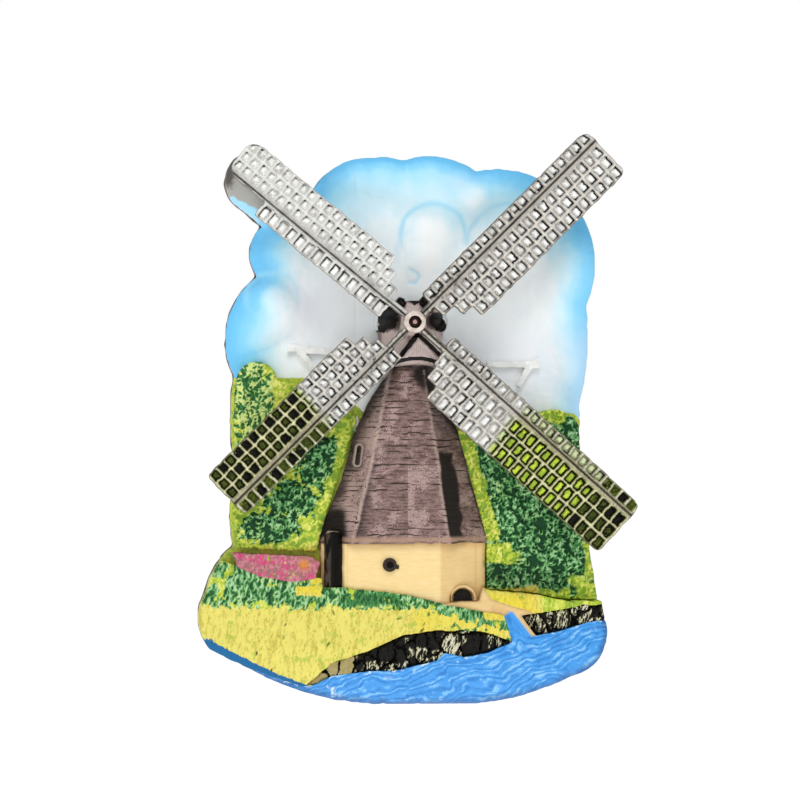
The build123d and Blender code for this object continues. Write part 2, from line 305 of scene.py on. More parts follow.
class Strokes:
    # short curved marks laid over a sheet, kept as one height field
    def __init__(self, sheet):
        self.sheet = sheet
        self.field = np.zeros(sheet.u.shape)

    def lay(self, mask, perSquare, length, width, angle, spread, seed, bend=0.25, strength=1.0):
        sheet = self.sheet
        rng = np.random.default_rng(seed)
        rows, cols = np.nonzero(mask)
        if not len(rows):
            return self
        count = int(len(rows) * sheet.step ** 2 * perSquare)
        picked = rng.integers(0, len(rows), count)
        jitter = rng.random((count, 2))
        turns = np.radians(angle + spread * rng.standard_normal(count))
        sizes = rng.uniform(0.7, 1.25, (count, 2))
        bends = rng.uniform(-1, 1, count) * bend
        forces = rng.uniform(0.6, 1.0, count) * strength
        top, side = self.field.shape
        for k in range(count):
            r = rows[picked[k]]
            c = cols[picked[k]]
            half = int(length * sizes[k, 0] / sheet.step / 2) + 2
            r0 = max(0, r - half)
            r1 = min(top, r + half + 1)
            c0 = max(0, c - half)
            c1 = min(side, c + half + 1)
            du = (np.arange(c0, c1) - c - jitter[k, 0])[None, :] * sheet.step
            dv = (np.arange(r0, r1) - r - jitter[k, 1])[:, None] * sheet.step
            ca = math.cos(turns[k])
            sa = math.sin(turns[k])
            along = (du * ca + dv * sa) / (length * sizes[k, 0] / 2)
            across = (dv * ca - du * sa + bends[k] * along * along) / (width * sizes[k, 1] / 2)
            mark = unit(1 - along ** 2) * unit(1 - across ** 2)
            window = self.field[r0:r1, c0:c1]
            np.maximum(window, forces[k] * np.sqrt(mark), out=window)
        return self


def stripFaces(cells, lines, flip):
    # one long face for each run of cells in a row, through every point kept on its two lines
    faces = []
    for r in range(cells.shape[0]):
        change = np.flatnonzero(np.diff(np.pad(cells[r].astype(int), 1)))
        for c0, c1 in zip(change[::2], change[1::2]):
            lower = lines[r, c0:c1 + 1]
            upper = lines[r + 1, c0:c1 + 1]
            loop = lower[lower >= 0].tolist() + upper[upper >= 0][::-1].tolist()
            faces.append(loop[::-1] if flip else loop)
    return faces


def touching(cells):
    # how many of the cells meet at each corner
    p = np.pad(cells, 1).astype(int)
    return p[:-1, :-1] + p[1:, :-1] + p[:-1, 1:] + p[1:, 1:]


def reliefMesh(name, sheet, mask, top, foot, marks, rings=2, fineBack=False, shown=None):
    # closed solid: the sheet's front, walls round the mask's edge, and a back
    shown = mask if shown is None else shown & mask
    p = np.pad(mask, 1)
    around = touching(mask)
    used = around > 0
    edge = used & (around < 4)
    if not fineBack:
        used = edge | (touching(shown) > 0)
    corner = [np.flatnonzero(used)]
    ids = [np.full(used.shape, -1)]
    ids[0][used] = np.arange(len(corner[0]))
    heights = [top[used]]
    total = len(corner[0])
    for k in range(1, rings + 1):
        last = k == rings
        where = used if last and fineBack else edge
        ring = np.full(used.shape, -1)
        ring[where] = total + np.arange(where.sum())
        total += int(where.sum())
        ids.append(ring)
        corner.append(np.flatnonzero(where))
        heights.append((top + (foot - top) * k / rings)[where])
    corner = np.concatenate(corner)
    depth = np.concatenate(heights)
    x, z = sheet.toFrame(sheet.u.ravel()[corner], sheet.v.ravel()[corner])
    points = np.stack([x * mm, -depth * mm, z * mm], axis=1)
    points = np.clip(points, np.array(cadLow), np.array(cadHigh))
    quads = []
    r, c = np.nonzero(shown)
    front = [ids[0][r, c], ids[0][r, c + 1], ids[0][r + 1, c + 1], ids[0][r + 1, c]]
    quads.append(np.stack(front, axis=1))
    sides = [(-1, 0, (0, 0), (0, 1)), (0, 1, (0, 1), (1, 1)),
             (1, 0, (1, 1), (1, 0)), (0, -1, (1, 0), (0, 0))]
    for dr, dc, a, b in sides:
        beside = p[1 + dr:p.shape[0] - 1 + dr, 1 + dc:p.shape[1] - 1 + dc]
        r, c = np.nonzero(mask & ~beside)
        for upper, lower in zip(ids[:-1], ids[1:]):
            wall = [upper[r + b[0], c + b[1]], upper[r + a[0], c + a[1]],
                    lower[r + a[0], c + a[1]], lower[r + b[0], c + b[1]]]
            quads.append(np.stack(wall, axis=1))
    back = ids[-1]
    faces = []
    if fineBack:
        r, c = np.nonzero(mask)
        rear = [back[r + 1, c], back[r + 1, c + 1], back[r, c + 1], back[r, c]]
        quads.append(np.stack(rear, axis=1))
    else:
        faces += stripFaces(mask, back, True)
    faces += stripFaces(mask & ~shown, ids[0], False)
    faces = np.concatenate(quads).tolist() + faces
    mesh = bpy.data.meshes.new(name)
    mesh.from_pydata(points.tolist(), [], faces)
    for label, field in marks.items():
        layer = mesh.attributes.new(label, "FLOAT", "POINT")
        layer.data.foreach_set("value", np.ascontiguousarray(field.ravel()[corner], dtype=np.float32))
    mesh.validate()
    return mesh


def addPiece(name, mesh, body, finish, nodes=(), sharp=55):
    mesh.shade_smooth()
    mesh.set_sharp_from_angle(angle=math.radians(sharp))
    mesh.materials.append(finish)
    piece = bpy.data.objects.new(name, mesh)
    bpy.context.scene.collection.objects.link(piece)
    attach(piece, body)
    if nodes:
        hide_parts(*nodes)
    return piece


def paint(code):
    parts = [int(code[i:i + 2], 16) / 255 for i in (1, 3, 5)]
    return [p / 12.92 if p <= 0.04045 else ((p + 0.055) / 1.055) ** 2.4 for p in parts] + [1.0]


class Wire:
    # a socket that can be written in sums
    def __init__(self, finish, socket):
        self.finish = finish
        self.socket = socket

    def sum(self, operation, first, second):
        return self.finish.node("Math", {"operation": operation, "use_clamp": False}, {0: first, 1: second})

    def __add__(self, other):
        return self.sum("ADD", self, other)

    def __radd__(self, other):
        return self.sum("ADD", other, self)

    def __sub__(self, other):
        return self.sum("SUBTRACT", self, other)

    def __rsub__(self, other):
        return self.sum("SUBTRACT", other, self)

    def __mul__(self, other):
        return self.sum("MULTIPLY", self, other)

    def __rmul__(self, other):
        return self.sum("MULTIPLY", other, self)

    def rough(self, grains, amount):
        # the same, uneven by that much
        return self + (grains - 0.5) * amount

    def within(self, low, high):
        # 0 below low, 1 above high
        settings = {"interpolation_type": "SMOOTHSTEP"}
        return self.finish.node("MapRange", settings, {"Value": self, "From Min": low, "From Max": high})


class Finish:
    def __init__(self, name, look=None):
        self.look = look or {}
        self.colour = None
        self.material = bpy.data.materials.new(name)
        self.material.use_nodes = True
        self.tree = self.material.node_tree
        self.tree.nodes.clear()
        self.place = self.node("VectorMath", {"operation": "SCALE"},
                               {0: self.node("TexCoord", {}, {}, "Object"), "Scale": 1 / mm})

    def node(self, kind, settings, values, output=0):
        made = self.tree.nodes.new("ShaderNode" + kind)
        for key, value in settings.items():
            setattr(made, key, value)
        for key, value in values.items():
            if isinstance(value, Wire):
                self.tree.links.new(value.socket, made.inputs[key])
            else:
                made.inputs[key].default_value = value
        return Wire(self, made.outputs[output]) if len(made.outputs) else None

    def mark(self, name):
        return self.node("Attribute", {"attribute_name": name}, {}, "Fac")

    def grains(self, scale, detail=3.0, stretch=(1, 1, 1), distortion=0.0):
        # scale in lumps per mm
        place = self.node("VectorMath", {"operation": "MULTIPLY"}, {0: self.place, 1: stretch})
        values = {"Vector": place, "Scale": scale, "Detail": detail, "Distortion": distortion}
        return self.node("TexNoise", {}, values)

    def depth(self):
        split = self.node("SeparateXYZ", {}, {0: self.place}, "Y")
        return split * -1.0

    def mix(self, factor, first, second):
        # a colour is a link, a code or the name of one of the look's codes
        values = {0: factor}
        for index, colour in ((6, first), (7, second)):
            values[index] = paint(self.look.get(colour, colour)) if isinstance(colour, str) else colour
        return self.node("Mix", {"data_type": "RGBA", "clamp_factor": True}, values, 2)

    def base(self, factor, first, second):
        self.colour = self.mix(factor, first, second)

    def coat(self, where, colour):
        # one more coat of paint, laid where that is 1
        self.colour = self.mix(where, self.colour, colour)

    def done(self, roughness, bumps, metallic=0.0, coat=0.0, coatRoughness=0.3, specular=0.22):
        normal = None
        for height, strength, distance in bumps:
            values = {"Height": height, "Strength": strength, "Distance": distance * mm}
            if normal:
                values["Normal"] = normal
            normal = self.node("Bump", {}, values)
        values = {"Base Color": self.colour, "Roughness": roughness, "Metallic": metallic, "Normal": normal,
                  "Coat Weight": coat, "Coat Roughness": coatRoughness, "Specular IOR Level": specular}
        shader = self.node("BsdfPrincipled", {}, values)
        self.node("OutputMaterial", {}, {"Surface": shader})
        return self.material


bareResin = {"colour": "#4a2f22", "light": "#6b4632", "paintEnds": 4.4, "raggedness": 0.9}


def overBare(f):
    # paint stops part of the way down the side walls, and bare brown resin shows behind it
    resin = f.mix(f.grains(1.4), bareResin["colour"], bareResin["light"])
    rag = (f.grains(0.5, 5.0) - 0.5) * bareResin["raggedness"] * 2
    painted = (f.depth() + rag).within(bareResin["paintEnds"] - 0.12, bareResin["paintEnds"] + 0.12)
    f.colour = f.mix(painted, resin, f.colour)


skyLook = {"deep": "#6cc4f3", "blue": "#86d3f9", "cyan": "#ade4fa", "pale": "#d6f1fb",
           "white": "#fcfefe", "lilacTintAndShadow": "#e2e3ec", "grey": "#bdbbb9", "silver": "#a9a8a3",
           "silverDark": "#57524c", "grass": "#8fae46", "lime": "#c6cf45", "straw": "#e2d66c",
           "water": "#3f8fcc"}


def skyFinish():
    f = Finish("skyPaint", skyLook)
    streak = f.grains(0.55, 4.0, (1.0, 1.0, 0.22))
    fine = f.grains(2.2, 3.0)
    blue = f.mark("blue").rough(streak, 0.2).rough(fine, 0.05)
    f.base(blue.within(0.02, 0.28), "white", "pale")
    f.coat(blue.within(0.2, 0.6), "cyan")
    f.coat(blue.within(0.55, 0.95), "blue")
    f.coat(blue.within(0.9, 1.3), "deep")
    f.coat(f.mark("outline"), "cyan")
    f.coat(f.mark("shade"), "grey")
    # lilac tint, and painted shadow of the sails
    f.coat(f.mark("lilacTintAndShadow"), "lilacTintAndShadow")
    silver = f.mix(f.mark("silverEdge").rough(fine, 0.5).within(0.3, 0.9), "silver", "silverDark")
    f.coat(f.mark("silver").rough(streak, 0.4).within(0.3, 0.7), silver)
    green = f.mix(fine.within(0.35, 0.6), "grass", "lime")
    f.coat(f.mark("meadow").rough(fine, 0.5).within(0.35, 0.65), green)
    f.coat(f.mark("straw"), "straw")
    f.coat(f.mark("water"), "water")
    overBare(f)
    return f.done(0.42 + 0.2 * fine, [(streak, 0.12, 0.2), (f.grains(5.0), 0.1, 0.06)], coat=0.12)


leafLook = {"black": "#0c1c10", "dark": "#1a4526", "mid": "#4c8f4d", "light": "#b2dca4",
            "limeShade": "#7fa63c", "lime": "#bfd043", "limeLight": "#e8ea7c", "yellow": "#e8dc71",
            "yellowShade": "#b3a43f", "yellowGreen": "#b4c250", "pink": "#cb8890",
            "deepPink": "#96655f", "hotPink": "#dc4d86", "orange": "#e8963a", "water": "#22699d",
            "gold": "#ecd53a"}


def foliageFinish(name):
    f = Finish(name, leafLook)
    speck = f.grains(3.6, 3.0)
    wide = f.grains(0.8, 3.0)
    blade = f.grains(3.0, 3.0, (1.6, 1.0, 0.5), 0.4)
    stroke = f.mark("stroke") * 0.85 + (blade - 0.5) * 0.75
    green = f.mix(stroke.within(0.02, 0.42), "dark", "mid")
    tips = f.mix(f.mark("tips"), "light", "limeLight")
    green = f.mix(stroke.within(0.42, 0.9), green, tips)
    # black in the hollows: painted shade
    green = f.mix(f.mark("hollowShadeAndJoints").within(0.15, 0.9), green, "black")
    lime = f.mix((stroke * 0.6 + wide * 0.6).within(0.15, 0.6), "limeShade", "lime")
    lime = f.mix((wide * 0.6 + speck * 0.4 + stroke * 0.25).within(0.58, 0.78), lime, "limeLight")
    yellow = f.mix((stroke * 0.5 + speck * 0.5).within(0.1, 0.5), "yellowShade", "yellow")
    yellow = f.mix(f.mark("gold"), yellow, "gold")
    yellow = f.mix(wide.rough(blade, 0.6).within(0.56, 0.72), yellow, "yellowGreen")
    pink = f.mix((stroke + speck * 0.4).within(0.1, 0.7), "deepPink", "pink")
    pink = f.mix((wide * 0.6 + blade * 0.5).within(0.55, 0.66), pink, "hotPink")
    f.base(f.mark("lime").rough(speck, 0.7).within(0.35, 0.65), green, lime)
    f.coat(f.mark("yellow").rough(speck, 0.6).within(0.35, 0.65), yellow)
    f.coat(f.mark("pink").rough(speck, 0.6).within(0.38, 0.62), pink)
    f.coat(f.mark("orange"), "orange")
    f.coat(f.mark("dark"), "black")
    f.coat(f.mark("water").rough(blade, 0.9).within(0.4, 0.6), "water")
    overBare(f)
    return f.done(0.4 + 0.25 * speck, [(blade, 0.35, 0.12), (speck, 0.25, 0.08)], specular=0.14)


thatchLook = {"deep": "#1c1512", "dark": "#5c4540", "mid": "#89706b", "light": "#b0958f", "pink": "#c9b0a6",
              "line": "#2f211d", "lip": "#b08f7a"}


def thatchFinish():
    f = Finish("thatchPaint", thatchLook)
    stipple = f.grains(5.5, 2.0)
    dry = f.grains(1.3, 4.0, (0.6, 1.0, 2.2))
    f.base((dry * 0.7 + stipple * 0.4).within(0.38, 0.62), "dark", "mid")
    f.coat((stipple * 0.7 + dry * 0.4 + f.mark("bright") * 0.2).within(0.6, 0.78), "light")
    f.coat(f.mark("ridge"), "pink")
    f.coat(f.mark("line").rough(stipple, 0.5).within(0.3, 0.75), "line")
    # deep: painted shade and painted shadows, and the slit window's dark inside
    f.coat(f.mark("black").rough(stipple, 0.3).within(0.15, 1.0), "deep")
    f.coat(f.mark("lip"), "lip")
    return f.done(0.5 + 0.25 * stipple, [(stipple, 0.5, 0.12), (dry, 0.25, 0.15)], coat=0.05)


waterLook = {"blue": "#439dea", "deep": "#2a7dca", "light": "#86c3f3", "edge": "#1f5f9f", "foam": "#dfeef8"}
wallLook = {"cream": "#f1d291", "light": "#f4d99f", "shade": "#d7b076", "darkEdges": "#7d5e3a",
            "black": "#16120d"}


def wallFinish():
    f = Finish("wallPaint", wallLook)
    brush = f.grains(1.2, 4.0, (0.5, 0.5, 3.0))
    fine = f.grains(4.0)
    f.base(brush.within(0.3, 0.7), "cream", "light")
    f.coat(f.mark("shade") * (0.75 + 0.5 * fine), "shade")
    f.coat(f.mark("darkEdges"), "darkEdges")
    f.coat(f.mark("black"), "black")
    f.coat(f.mark("water"), waterLook["blue"])
    return f.done(0.45 + 0.2 * brush, [(brush, 0.25, 0.12), (fine, 0.12, 0.06)], coat=0.15)


def waterFinish():
    f = Finish("waterPaint", waterLook)
    speck = f.grains(2.6, 4.0)
    wide = f.grains(0.35, 3.0, (1.0, 1.0, 2.0))
    line = f.grains(2.0, 3.0, (0.35, 1.0, 1.6), 1.2)
    crest = f.mark("crest").rough(speck, 0.35).rough(line, 0.7).rough(wide, 0.9)
    f.base(crest.within(0.1, 0.75), "deep", "blue")
    f.coat(crest.rough(wide, 0.6).within(0.7, 1.1), "light")
    f.coat(f.mark("dark"), "edge")
    f.coat(f.mark("foam").rough(speck, 0.9).within(0.4, 0.95), "foam")
    overBare(f)
    return f.done(0.25 + 0.2 * speck, [(speck, 0.25, 0.1)], coat=0.4)


stoneLook = {"black": "#100f0b", "brown": "#2f2a1d", "tan": "#8f8a6a", "pale": "#d6d2b6", "sand": "#ab9c68"}


def stoneFinish():
    f = Finish("stonePaint", stoneLook)
    streak = f.grains(2.0, 4.0, (1.0, 1.0, 0.5), 0.6)
    speck = f.grains(5.0)
    raised = f.mark("raised").rough(streak, 0.5)
    f.base(raised.within(0.3, 0.6), "black", "brown")
    f.coat(raised.rough(speck, 0.3).within(0.48, 0.72), "tan")
    f.coat(raised.rough(speck, 0.3).within(0.66, 0.92), "pale")
    f.coat(f.mark("sand").rough(streak, 0.7).within(0.4, 0.8), "sand")
    # dark joints, and painted shade in the hollows
    f.coat(f.mark("hollowShadeAndJoints"), "black")
    overBare(f)
    return f.done(0.35 + 0.3 * speck, [(streak, 0.4, 0.15), (speck, 0.2, 0.06)], coat=0.05,
                  specular=0.14)


silverLook = {"bar": "#8c8479", "crown": "#dcd7ce", "coolBar": "#b6b2ab", "cool": "#e6e6e2",
              "floor": "#c6c2bb", "white": "#fbfbf8", "groove": "#3a322b", "black": "#0e0c09",
              "lime": "#cbe04a", "moss": "#93b038", "olive": "#6a6848", "yellow": "#e2deaa"}


def silverFinish():
    f = Finish("silverPaint", silverLook)
    speck = f.grains(4.5, 3.0)
    wide = f.grains(0.8, 3.0)
    crown = f.mark("crown").rough(speck, 0.5).rough(wide, 0.6)
    bars = f.mix(crown.within(0.25, 0.85), "bar", "crown")
    coolBars = f.mix(crown.within(0.0, 0.6), "coolBar", "cool")
    bars = f.mix(f.mark("cool"), bars, coolBars)
    oliveBars = f.mix((crown * 0.7 + speck * 0.4).within(0.45, 1.0), "olive", "yellow")
    bars = f.mix(f.mark("green") * 0.8, bars, oliveBars)
    floors = f.mix(f.mark("white").rough(speck, 0.3).within(0.1, 0.9), "floor", "white")
    mossy = f.mix(wide.within(0.35, 0.6), "moss", "lime")
    floors = f.mix(f.mark("lime"), floors, mossy)
    f.base(f.mark("pit"), bars, floors)
    # groove and black carry painted shade in the pits, with dark paint and grime
    f.coat(f.mark("groove") * (0.7 + 0.5 * wide), "groove")
    f.coat(f.mark("black").rough(speck, 0.25).within(0.15, 0.75), "black")
    return f.done(0.36 + 0.2 * speck, [(speck, 0.25, 0.06), (wide, 0.2, 0.15)], metallic=0.08,
                  specular=0.14)


capLook = {"mauve": "#d2c1be", "pink": "#e2cac3", "dark": "#6b5a54", "black": "#14110f", "rim": "#d8cac3",
           "sky": "#dfe2e4"}


def capFinish(name="capPaint"):
    f = Finish(name, capLook)
    speck = f.grains(3.5, 3.0)
    board = f.grains(1.5, 3.0, (3.0, 1.0, 0.6))
    f.base((speck * 0.5 + board * 0.5).within(0.4, 0.62), "mauve", "pink")
    # dark: painted shade in hollows, and the gable's board joints
    f.coat(f.mark("hollowShadeAndJoints").rough(speck, 0.3).within(0.1, 0.7), "dark")
    f.coat(f.mark("rim"), "rim")
    f.coat(f.mark("black").rough(speck, 0.3).within(0.3, 0.7), "black")
    f.coat(f.mark("sky").rough(speck, 0.4).within(0.35, 0.65), "sky")
    return f.done(0.45 + 0.2 * speck, [(board, 0.4, 0.12), (speck, 0.25, 0.08)], coat=0.15)


blackLook = {"black": "#0b0a08", "brown": "#40362e", "wearAndHighlight": "#9a8c80"}


def blackFinish():
    f = Finish("blackPaint", blackLook)
    grainUp = f.grains(2.5, 4.0, (2.5, 1.0, 0.35))
    speck = f.grains(6.0)
    # paler paint: random on the knobs, flecks and an arc on the door, the slit window's frame, and a
    # painted highlight on the round window's raised parts
    wearAndHighlight = f.mark("wearAndHighlight").rough(grainUp, 0.25)
    f.base(wearAndHighlight.within(0.25, 0.6), "black", "brown")
    f.coat(wearAndHighlight.rough(speck, 0.3).within(0.6, 0.95), "wearAndHighlight")
    return f.done(0.25 + 0.25 * speck, [(grainUp, 0.35, 0.1)], specular=0.1)


def plainFinish(name, first, second, roughness, scale, metallic=0.0, coat=0.0, bump=0.2):
    # small parts of one stuff: two tones, a mottled gloss, a fine bump
    f = Finish(name)
    wide = f.grains(scale, 4.0)
    fine = f.grains(scale * 6, 2.0)
    f.base(wide.rough(fine, 0.4).within(0.3, 0.7), first, second)
    bumps = [(wide, bump, 0.1), (fine, bump, 0.05)]
    return f.done(roughness + 0.2 * fine, bumps, metallic=metallic, coat=coat)


print("relief: reading the frame")
relief = Sheet(reliefNodes, 0.15, sway=0.12, swaySize=1.5, seed=5)
rx, rz = relief.u, relief.v


def hills(size, seed, layers=3):
    return lumps(rx, rz, size, seed, layers)


def grit(size, seed):
    return grain(rx, rz, size, seed)


def zone(*numbers):
    return patch(rx, rz, *numbers)


def zones(*rows):
    # the strongest of several zones; each row starts with its strength
    return strongest(*[row[0] * zone(*row[1:]) for row in rows])


def surface(own, softness):
    return relief.corners(relief.soft(own, softness), own)


whole = relief.owner >= 0
skyMask = relief.has(*skyNodes)
towerMask = relief.has("mill_tower")
edgeOfPlaque = relief.inside(whole, 9.0)
plateFront = 6.0  # where the slab ends and the pieces set on it begin
sunk = 4.8  # how deep their feet are let into it
parting = 3.3  # between the slab's painted front and its poured back
landFront = 11.95
waterFront = 12.3
stoneFront = 12.4

skyShape = {"edgeRound": 0.8, "roll": 0.18, "lobeHeight": 0.4}
# puffs modelled on the sky: middle, radius, how strongly the brush outlined them
puffs = [(4.1, 29.7, 4.7, 1.0), (3.3, 27.0, 4.4, 0.35), (15.2, 28.2, 6.2, 0.8), (9.2, 26.0, 3.6, 0.0),
         (-19.3, 20.4, 3.8, 0.5), (9.8, 35.4, 4.2, 0.0), (10.3, 21.5, 5.0, 0.0)]
hookCurl = [(0.6, 24.9), (1.5, 24.2), (2.0, 23.5), (1.6, 22.7), (0.8, 22.8)]
skyX = rx + 0.25 * hills(2.0, 61)
skyZ = rz + 0.25 * hills(2.0, 71)
dome = np.zeros(rx.shape)
nearPuff = np.full(rx.shape, 9.0)
outline = np.zeros(rx.shape)
for px, pz, radius, inked in puffs:
    away = np.hypot(skyX - px, skyZ - pz)
    dome = np.maximum(dome, smooth(0, 1.0, 1 - away / radius))
    line = hump(away - radius, 0.42) + 0.4 * smooth(0, 1.6, radius - away) * smooth(2.6, 0, radius - away)
    outline = np.maximum(outline, 0.95 * inked * line * smooth(-2.5, 2.5, skyZ - pz + 1))
    nearPuff = np.minimum(nearPuff, away - radius)
curl = hump(farFrom(skyX, skyZ, hookCurl), 0.3)
outline = np.maximum(outline * smooth(-1.6, -0.2, nearPuff + 0.5), 0.55 * curl)
skyCells = relief.soft(skyMask, 1.3)
skyTop = relief.corners(skyCells, skyMask)
t = unit(edgeOfPlaque / 1.3)
skyTop = skyTop - skyShape["edgeRound"] * rounding(t)
skyTop = skyTop + skyShape["roll"] * hills(4.5, 81) + 0.03 * hills(0.9, 85)
skyTop = skyTop + skyShape["lobeHeight"] * dome - 0.12 * curl
skyTop = np.minimum(skyTop, 11.9)
crease = np.zeros(rx.shape)
for bank in ("cloud_bank_left", "cloud_bank_upper_left", "cloud_under_sail_tip"):
    own = relief.has(bank)
    away = np.minimum(relief.inside(own, 2.4), 3) + relief.reach(own, 2.4)
    crease = np.maximum(crease, hump(away, 0.5))
leftward = smooth(-13, -24, rx)
rightward = smooth(12, 24, rx)
upward = smooth(22, 33, rz)
distance = np.clip(edgeOfPlaque + 0.4 * hills(1.8, 93), 0, 99)
reach = 2.3 + 0.8 * rightward + 2.4 * leftward + 0.8 * grit(5.0, 91)
blue = (0.85 + 0.12 * leftward) * hump(distance, reach)
blue = blue + (0.18 + 0.3 * upward + 0.12 * leftward) * hump(distance, 8.5)
blue = blue + 0.16 * crease * leftward * smooth(1.0, 2.5, edgeOfPlaque)
blue = blue * (1 - 0.55 * smooth(0.2, 0.9, dome) * smooth(0, 3, edgeOfPlaque))
blue = blue * (1 - 0.55 * smooth(-18, -21, rx) * smooth(29.5, 32, rz) * smooth(38, 35, rz))
hubX, hubZ = middle("sail_hub").x, middle("sail_hub").z
shade = 0.08 * hump(np.hypot(rx - 9.5, (rz - 17.3) * 1.6), 3.5)
shade = shade + 0.22 * hump(farFrom(rx, rz, [(-2.5, 16.5), (-20, 31.0)]), 2.4) * smooth(36, 16, rz)
for brace in ("tail_brace_left", "tail_brace_right"):
    left, right, foot, top = edges(brace)
    beamFoot = top - 0.9
    shade = shade + 0.45 * zone(left, right, beamFoot - 0.8, beamFoot, 0.5, 0.3)
# lilac tint: a small pale-lilac patch in the top cloud; the rest is painted shadow of the sails, a
# lilac-grey patch below the upper left sail and the sky right of the cap under the upper right sail
lilacTintAndShadow = 0.25 * hump(np.hypot(rx - 7.6, (rz - 37.3) * 1.8), 2.6)
lilacTintAndShadow = lilacTintAndShadow + 0.6 * hump(np.hypot(rx + 13.0, rz - 19.0), 4.5) + 0.35 * smooth(20, 12, rz) * (rx > 4)
treeGap = relief.reach(relief.has(*treeNodes), 2.4)
plants = (rx < 0) * np.maximum(smooth(3.4, 2.4, rz), smooth(9.6, 8.4, rz) * smooth(1.6, 1.0, treeGap))
besideTrees = smooth(4.4, 3.4, rz) * smooth(1.0, 0.5, treeGap)
plants = plants + (rx > 0) * np.maximum(smooth(1.4, 0.4, rz), besideTrees)
silver = (rx < -14) * smooth(32.6, 34.0, rz + 0.5 * (rx + 22) + 0.5 * hills(1.4, 95))
silverEdge = smooth(2.2, 0.2, edgeOfPlaque) * smooth(34.5, 37.5, rz) + 0.3 * hills(1.8, 97)
waterSide = smooth(-24.0, -22.0, rx) * smooth(-28.5, -30.5, rz) + (rx > 14) * smooth(-26.0, -27.0, rz)
strawSide = smooth(-22.0, -24.0, rz) * (rx < 0) * (1 - unit(waterSide))
skyMarks = {"blue": np.clip(blue, 0, 1.3), "outline": unit(outline), "shade": unit(shade),
            "lilacTintAndShadow": unit(lilacTintAndShadow), "meadow": unit(plants), "straw": strawSide,
            "silver": silver, "silverEdge": unit(silverEdge),
            "water": unit(waterSide)}

skyPaint = skyFinish()
print("relief: sky")
# the slab carries the sky; where other pieces cover it, it is level
slabTop = np.where(relief.corners(skyMask, skyMask) > 0, skyTop, plateFront)
slabFoot = np.full(rx.shape, parting)
slab = reliefMesh("backdrop", relief, whole, slabTop, slabFoot, skyMarks, rings=6, shown=skyMask)
addPiece("backdrop_front", slab, "plaque", skyPaint, ["backdrop"] + skyNodes[1:])


def footOf(mask):
    # pieces meet the slab's edge flush, and are sunk into it elsewhere
    outer = edgeOfPlaque < relief.step * 0.9
    return np.where(outer, plateFront, sunk)


def castRelief(node, own, top, marks, finish, suffix="_painted"):
    mesh = reliefMesh(node, relief, own, top, footOf(own), marks)
    addPiece(node + suffix, mesh, "plaque", finish, [node])


print("relief: plants and grass")
leafShape = {"clump": 0.7, "clumpSize": 3.0, "leaf": 0.34, "blade": 0.3, "bushRise": 0.45}
# bushes on the left bank: middle, half width, half height
bushes = [(-22.0, 5.2, 3.5, 6.4), (-12.4, -3.3, 3.4, 3.9), (-16.4, -8.7, 3.8, 2.7),
          (-19.8, -12.5, 4.6, 2.3), (-21.5, -2.5, 3.6, 3.4)]
treeMask = relief.has(*treeNodes)
grassMask = relief.has(*grassNodes)
flowerMask = relief.has("flower_bed")
bush = np.zeros(rx.shape)
for px, pz, halfWide, halfHigh in bushes:
    away = np.hypot((rx - px) / halfWide, (rz - pz) / halfHigh) + 0.22 * hills(1.5, 33)
    bush = np.maximum(bush, smooth(1.16, 0.84, away + 0.45 * hills(0.5, 35)))
bush = np.where(rx > 0, 1.0, bush)
band = (relief.cv > -24.6) & relief.has("meadow", "far_bank") & (relief.cu < 12)
leaves = Strokes(relief)
leaves.lay(treeMask, 4.2, 0.85, 0.32, 60, 55, 11, bend=0.6)
leaves.lay(band, 4.0, 1.1, 0.3, 78, 24, 12, bend=0.35)
leaves.lay(flowerMask, 5.0, 0.5, 0.36, 80, 50, 13)
blades = relief.has("meadow", "far_bank") & ~band
leaves.lay(blades, 3.2, 1.5, 0.26, 82, 14, 14, bend=0.25, strength=0.8)
stroke = leaves.field
tufts = Strokes(relief).lay(blades & (relief.cu < 5), 0.05, 0.9, 0.3, 80, 25, 15).field
towerGap = relief.reach(towerMask | relief.has("mill_base"), 4.0) + 0.5 * hills(1.5, 31)
fringe = smooth(2.4, 1.3, towerGap) * smooth(4.0, 2.0, rz) * smooth(-16.5, -13.0, rz)
lime = np.maximum(1 - bush, fringe)
leftBush = smooth(-16.5, -18.5, rx) * smooth(-1.0, 1.0, rz)
lime = np.maximum(lime, 0.45 * leftBush * smooth(0.1, 0.7, stroke))
tips = 0.55 * leftBush + 0.35 * smooth(0.0, 0.6, hills(2.2, 53))
inBand = relief.corners(band, np.ones(band.shape, bool))
inBandLime = smooth(0.15, 0.6, hills(1.7, 55) + 0.35 * grain(rx * 2, rz, 0.6, 57))
lime = lime * (1 - inBand) + inBand * 0.75 * inBandLime
limeZones = zones((1, -19.2, -15.6, 5.0, 10.5, 0.8), (1, 18.5, 24.4, 2.9, 5.5, 0.8, 0.9),
                  (0.8, 17.5, 24.0, -25.4, -22.0, 1.0, 1.2, 7), (1, 11.0, 16.0, -18.3, -15.3, 0.7, 0.8),
                  (1, 24.2, 30.0, -24.8, -19.6, 1.3, 1.3), (1, 26.0, 30.0, -20.0, -14.0, 0.8))
limeShelf = 0.85 * smooth(-14.6, -15.6, rz) * smooth(-17.4, -16.4, rz) * (rx < -9)
lime = strongest(lime, limeZones, limeShelf)
dark = 0.75 * zone(11.6, 15.6, -20.6, -18.4, 0.5) * (0.6 + 0.4 * grit(0.9, 37))
dark = np.maximum(dark, 0.35 * zone(15.0, 23.3, -22.4, -18.5, 0.9))
dark = np.maximum(dark, 0.3 * hump(rz + 16.2 + 0.15 * hills(1.2, 39), 0.16) * (rx < -13))
dark = np.maximum(dark, 0.85 * smooth(0.25, 0.7, tufts))
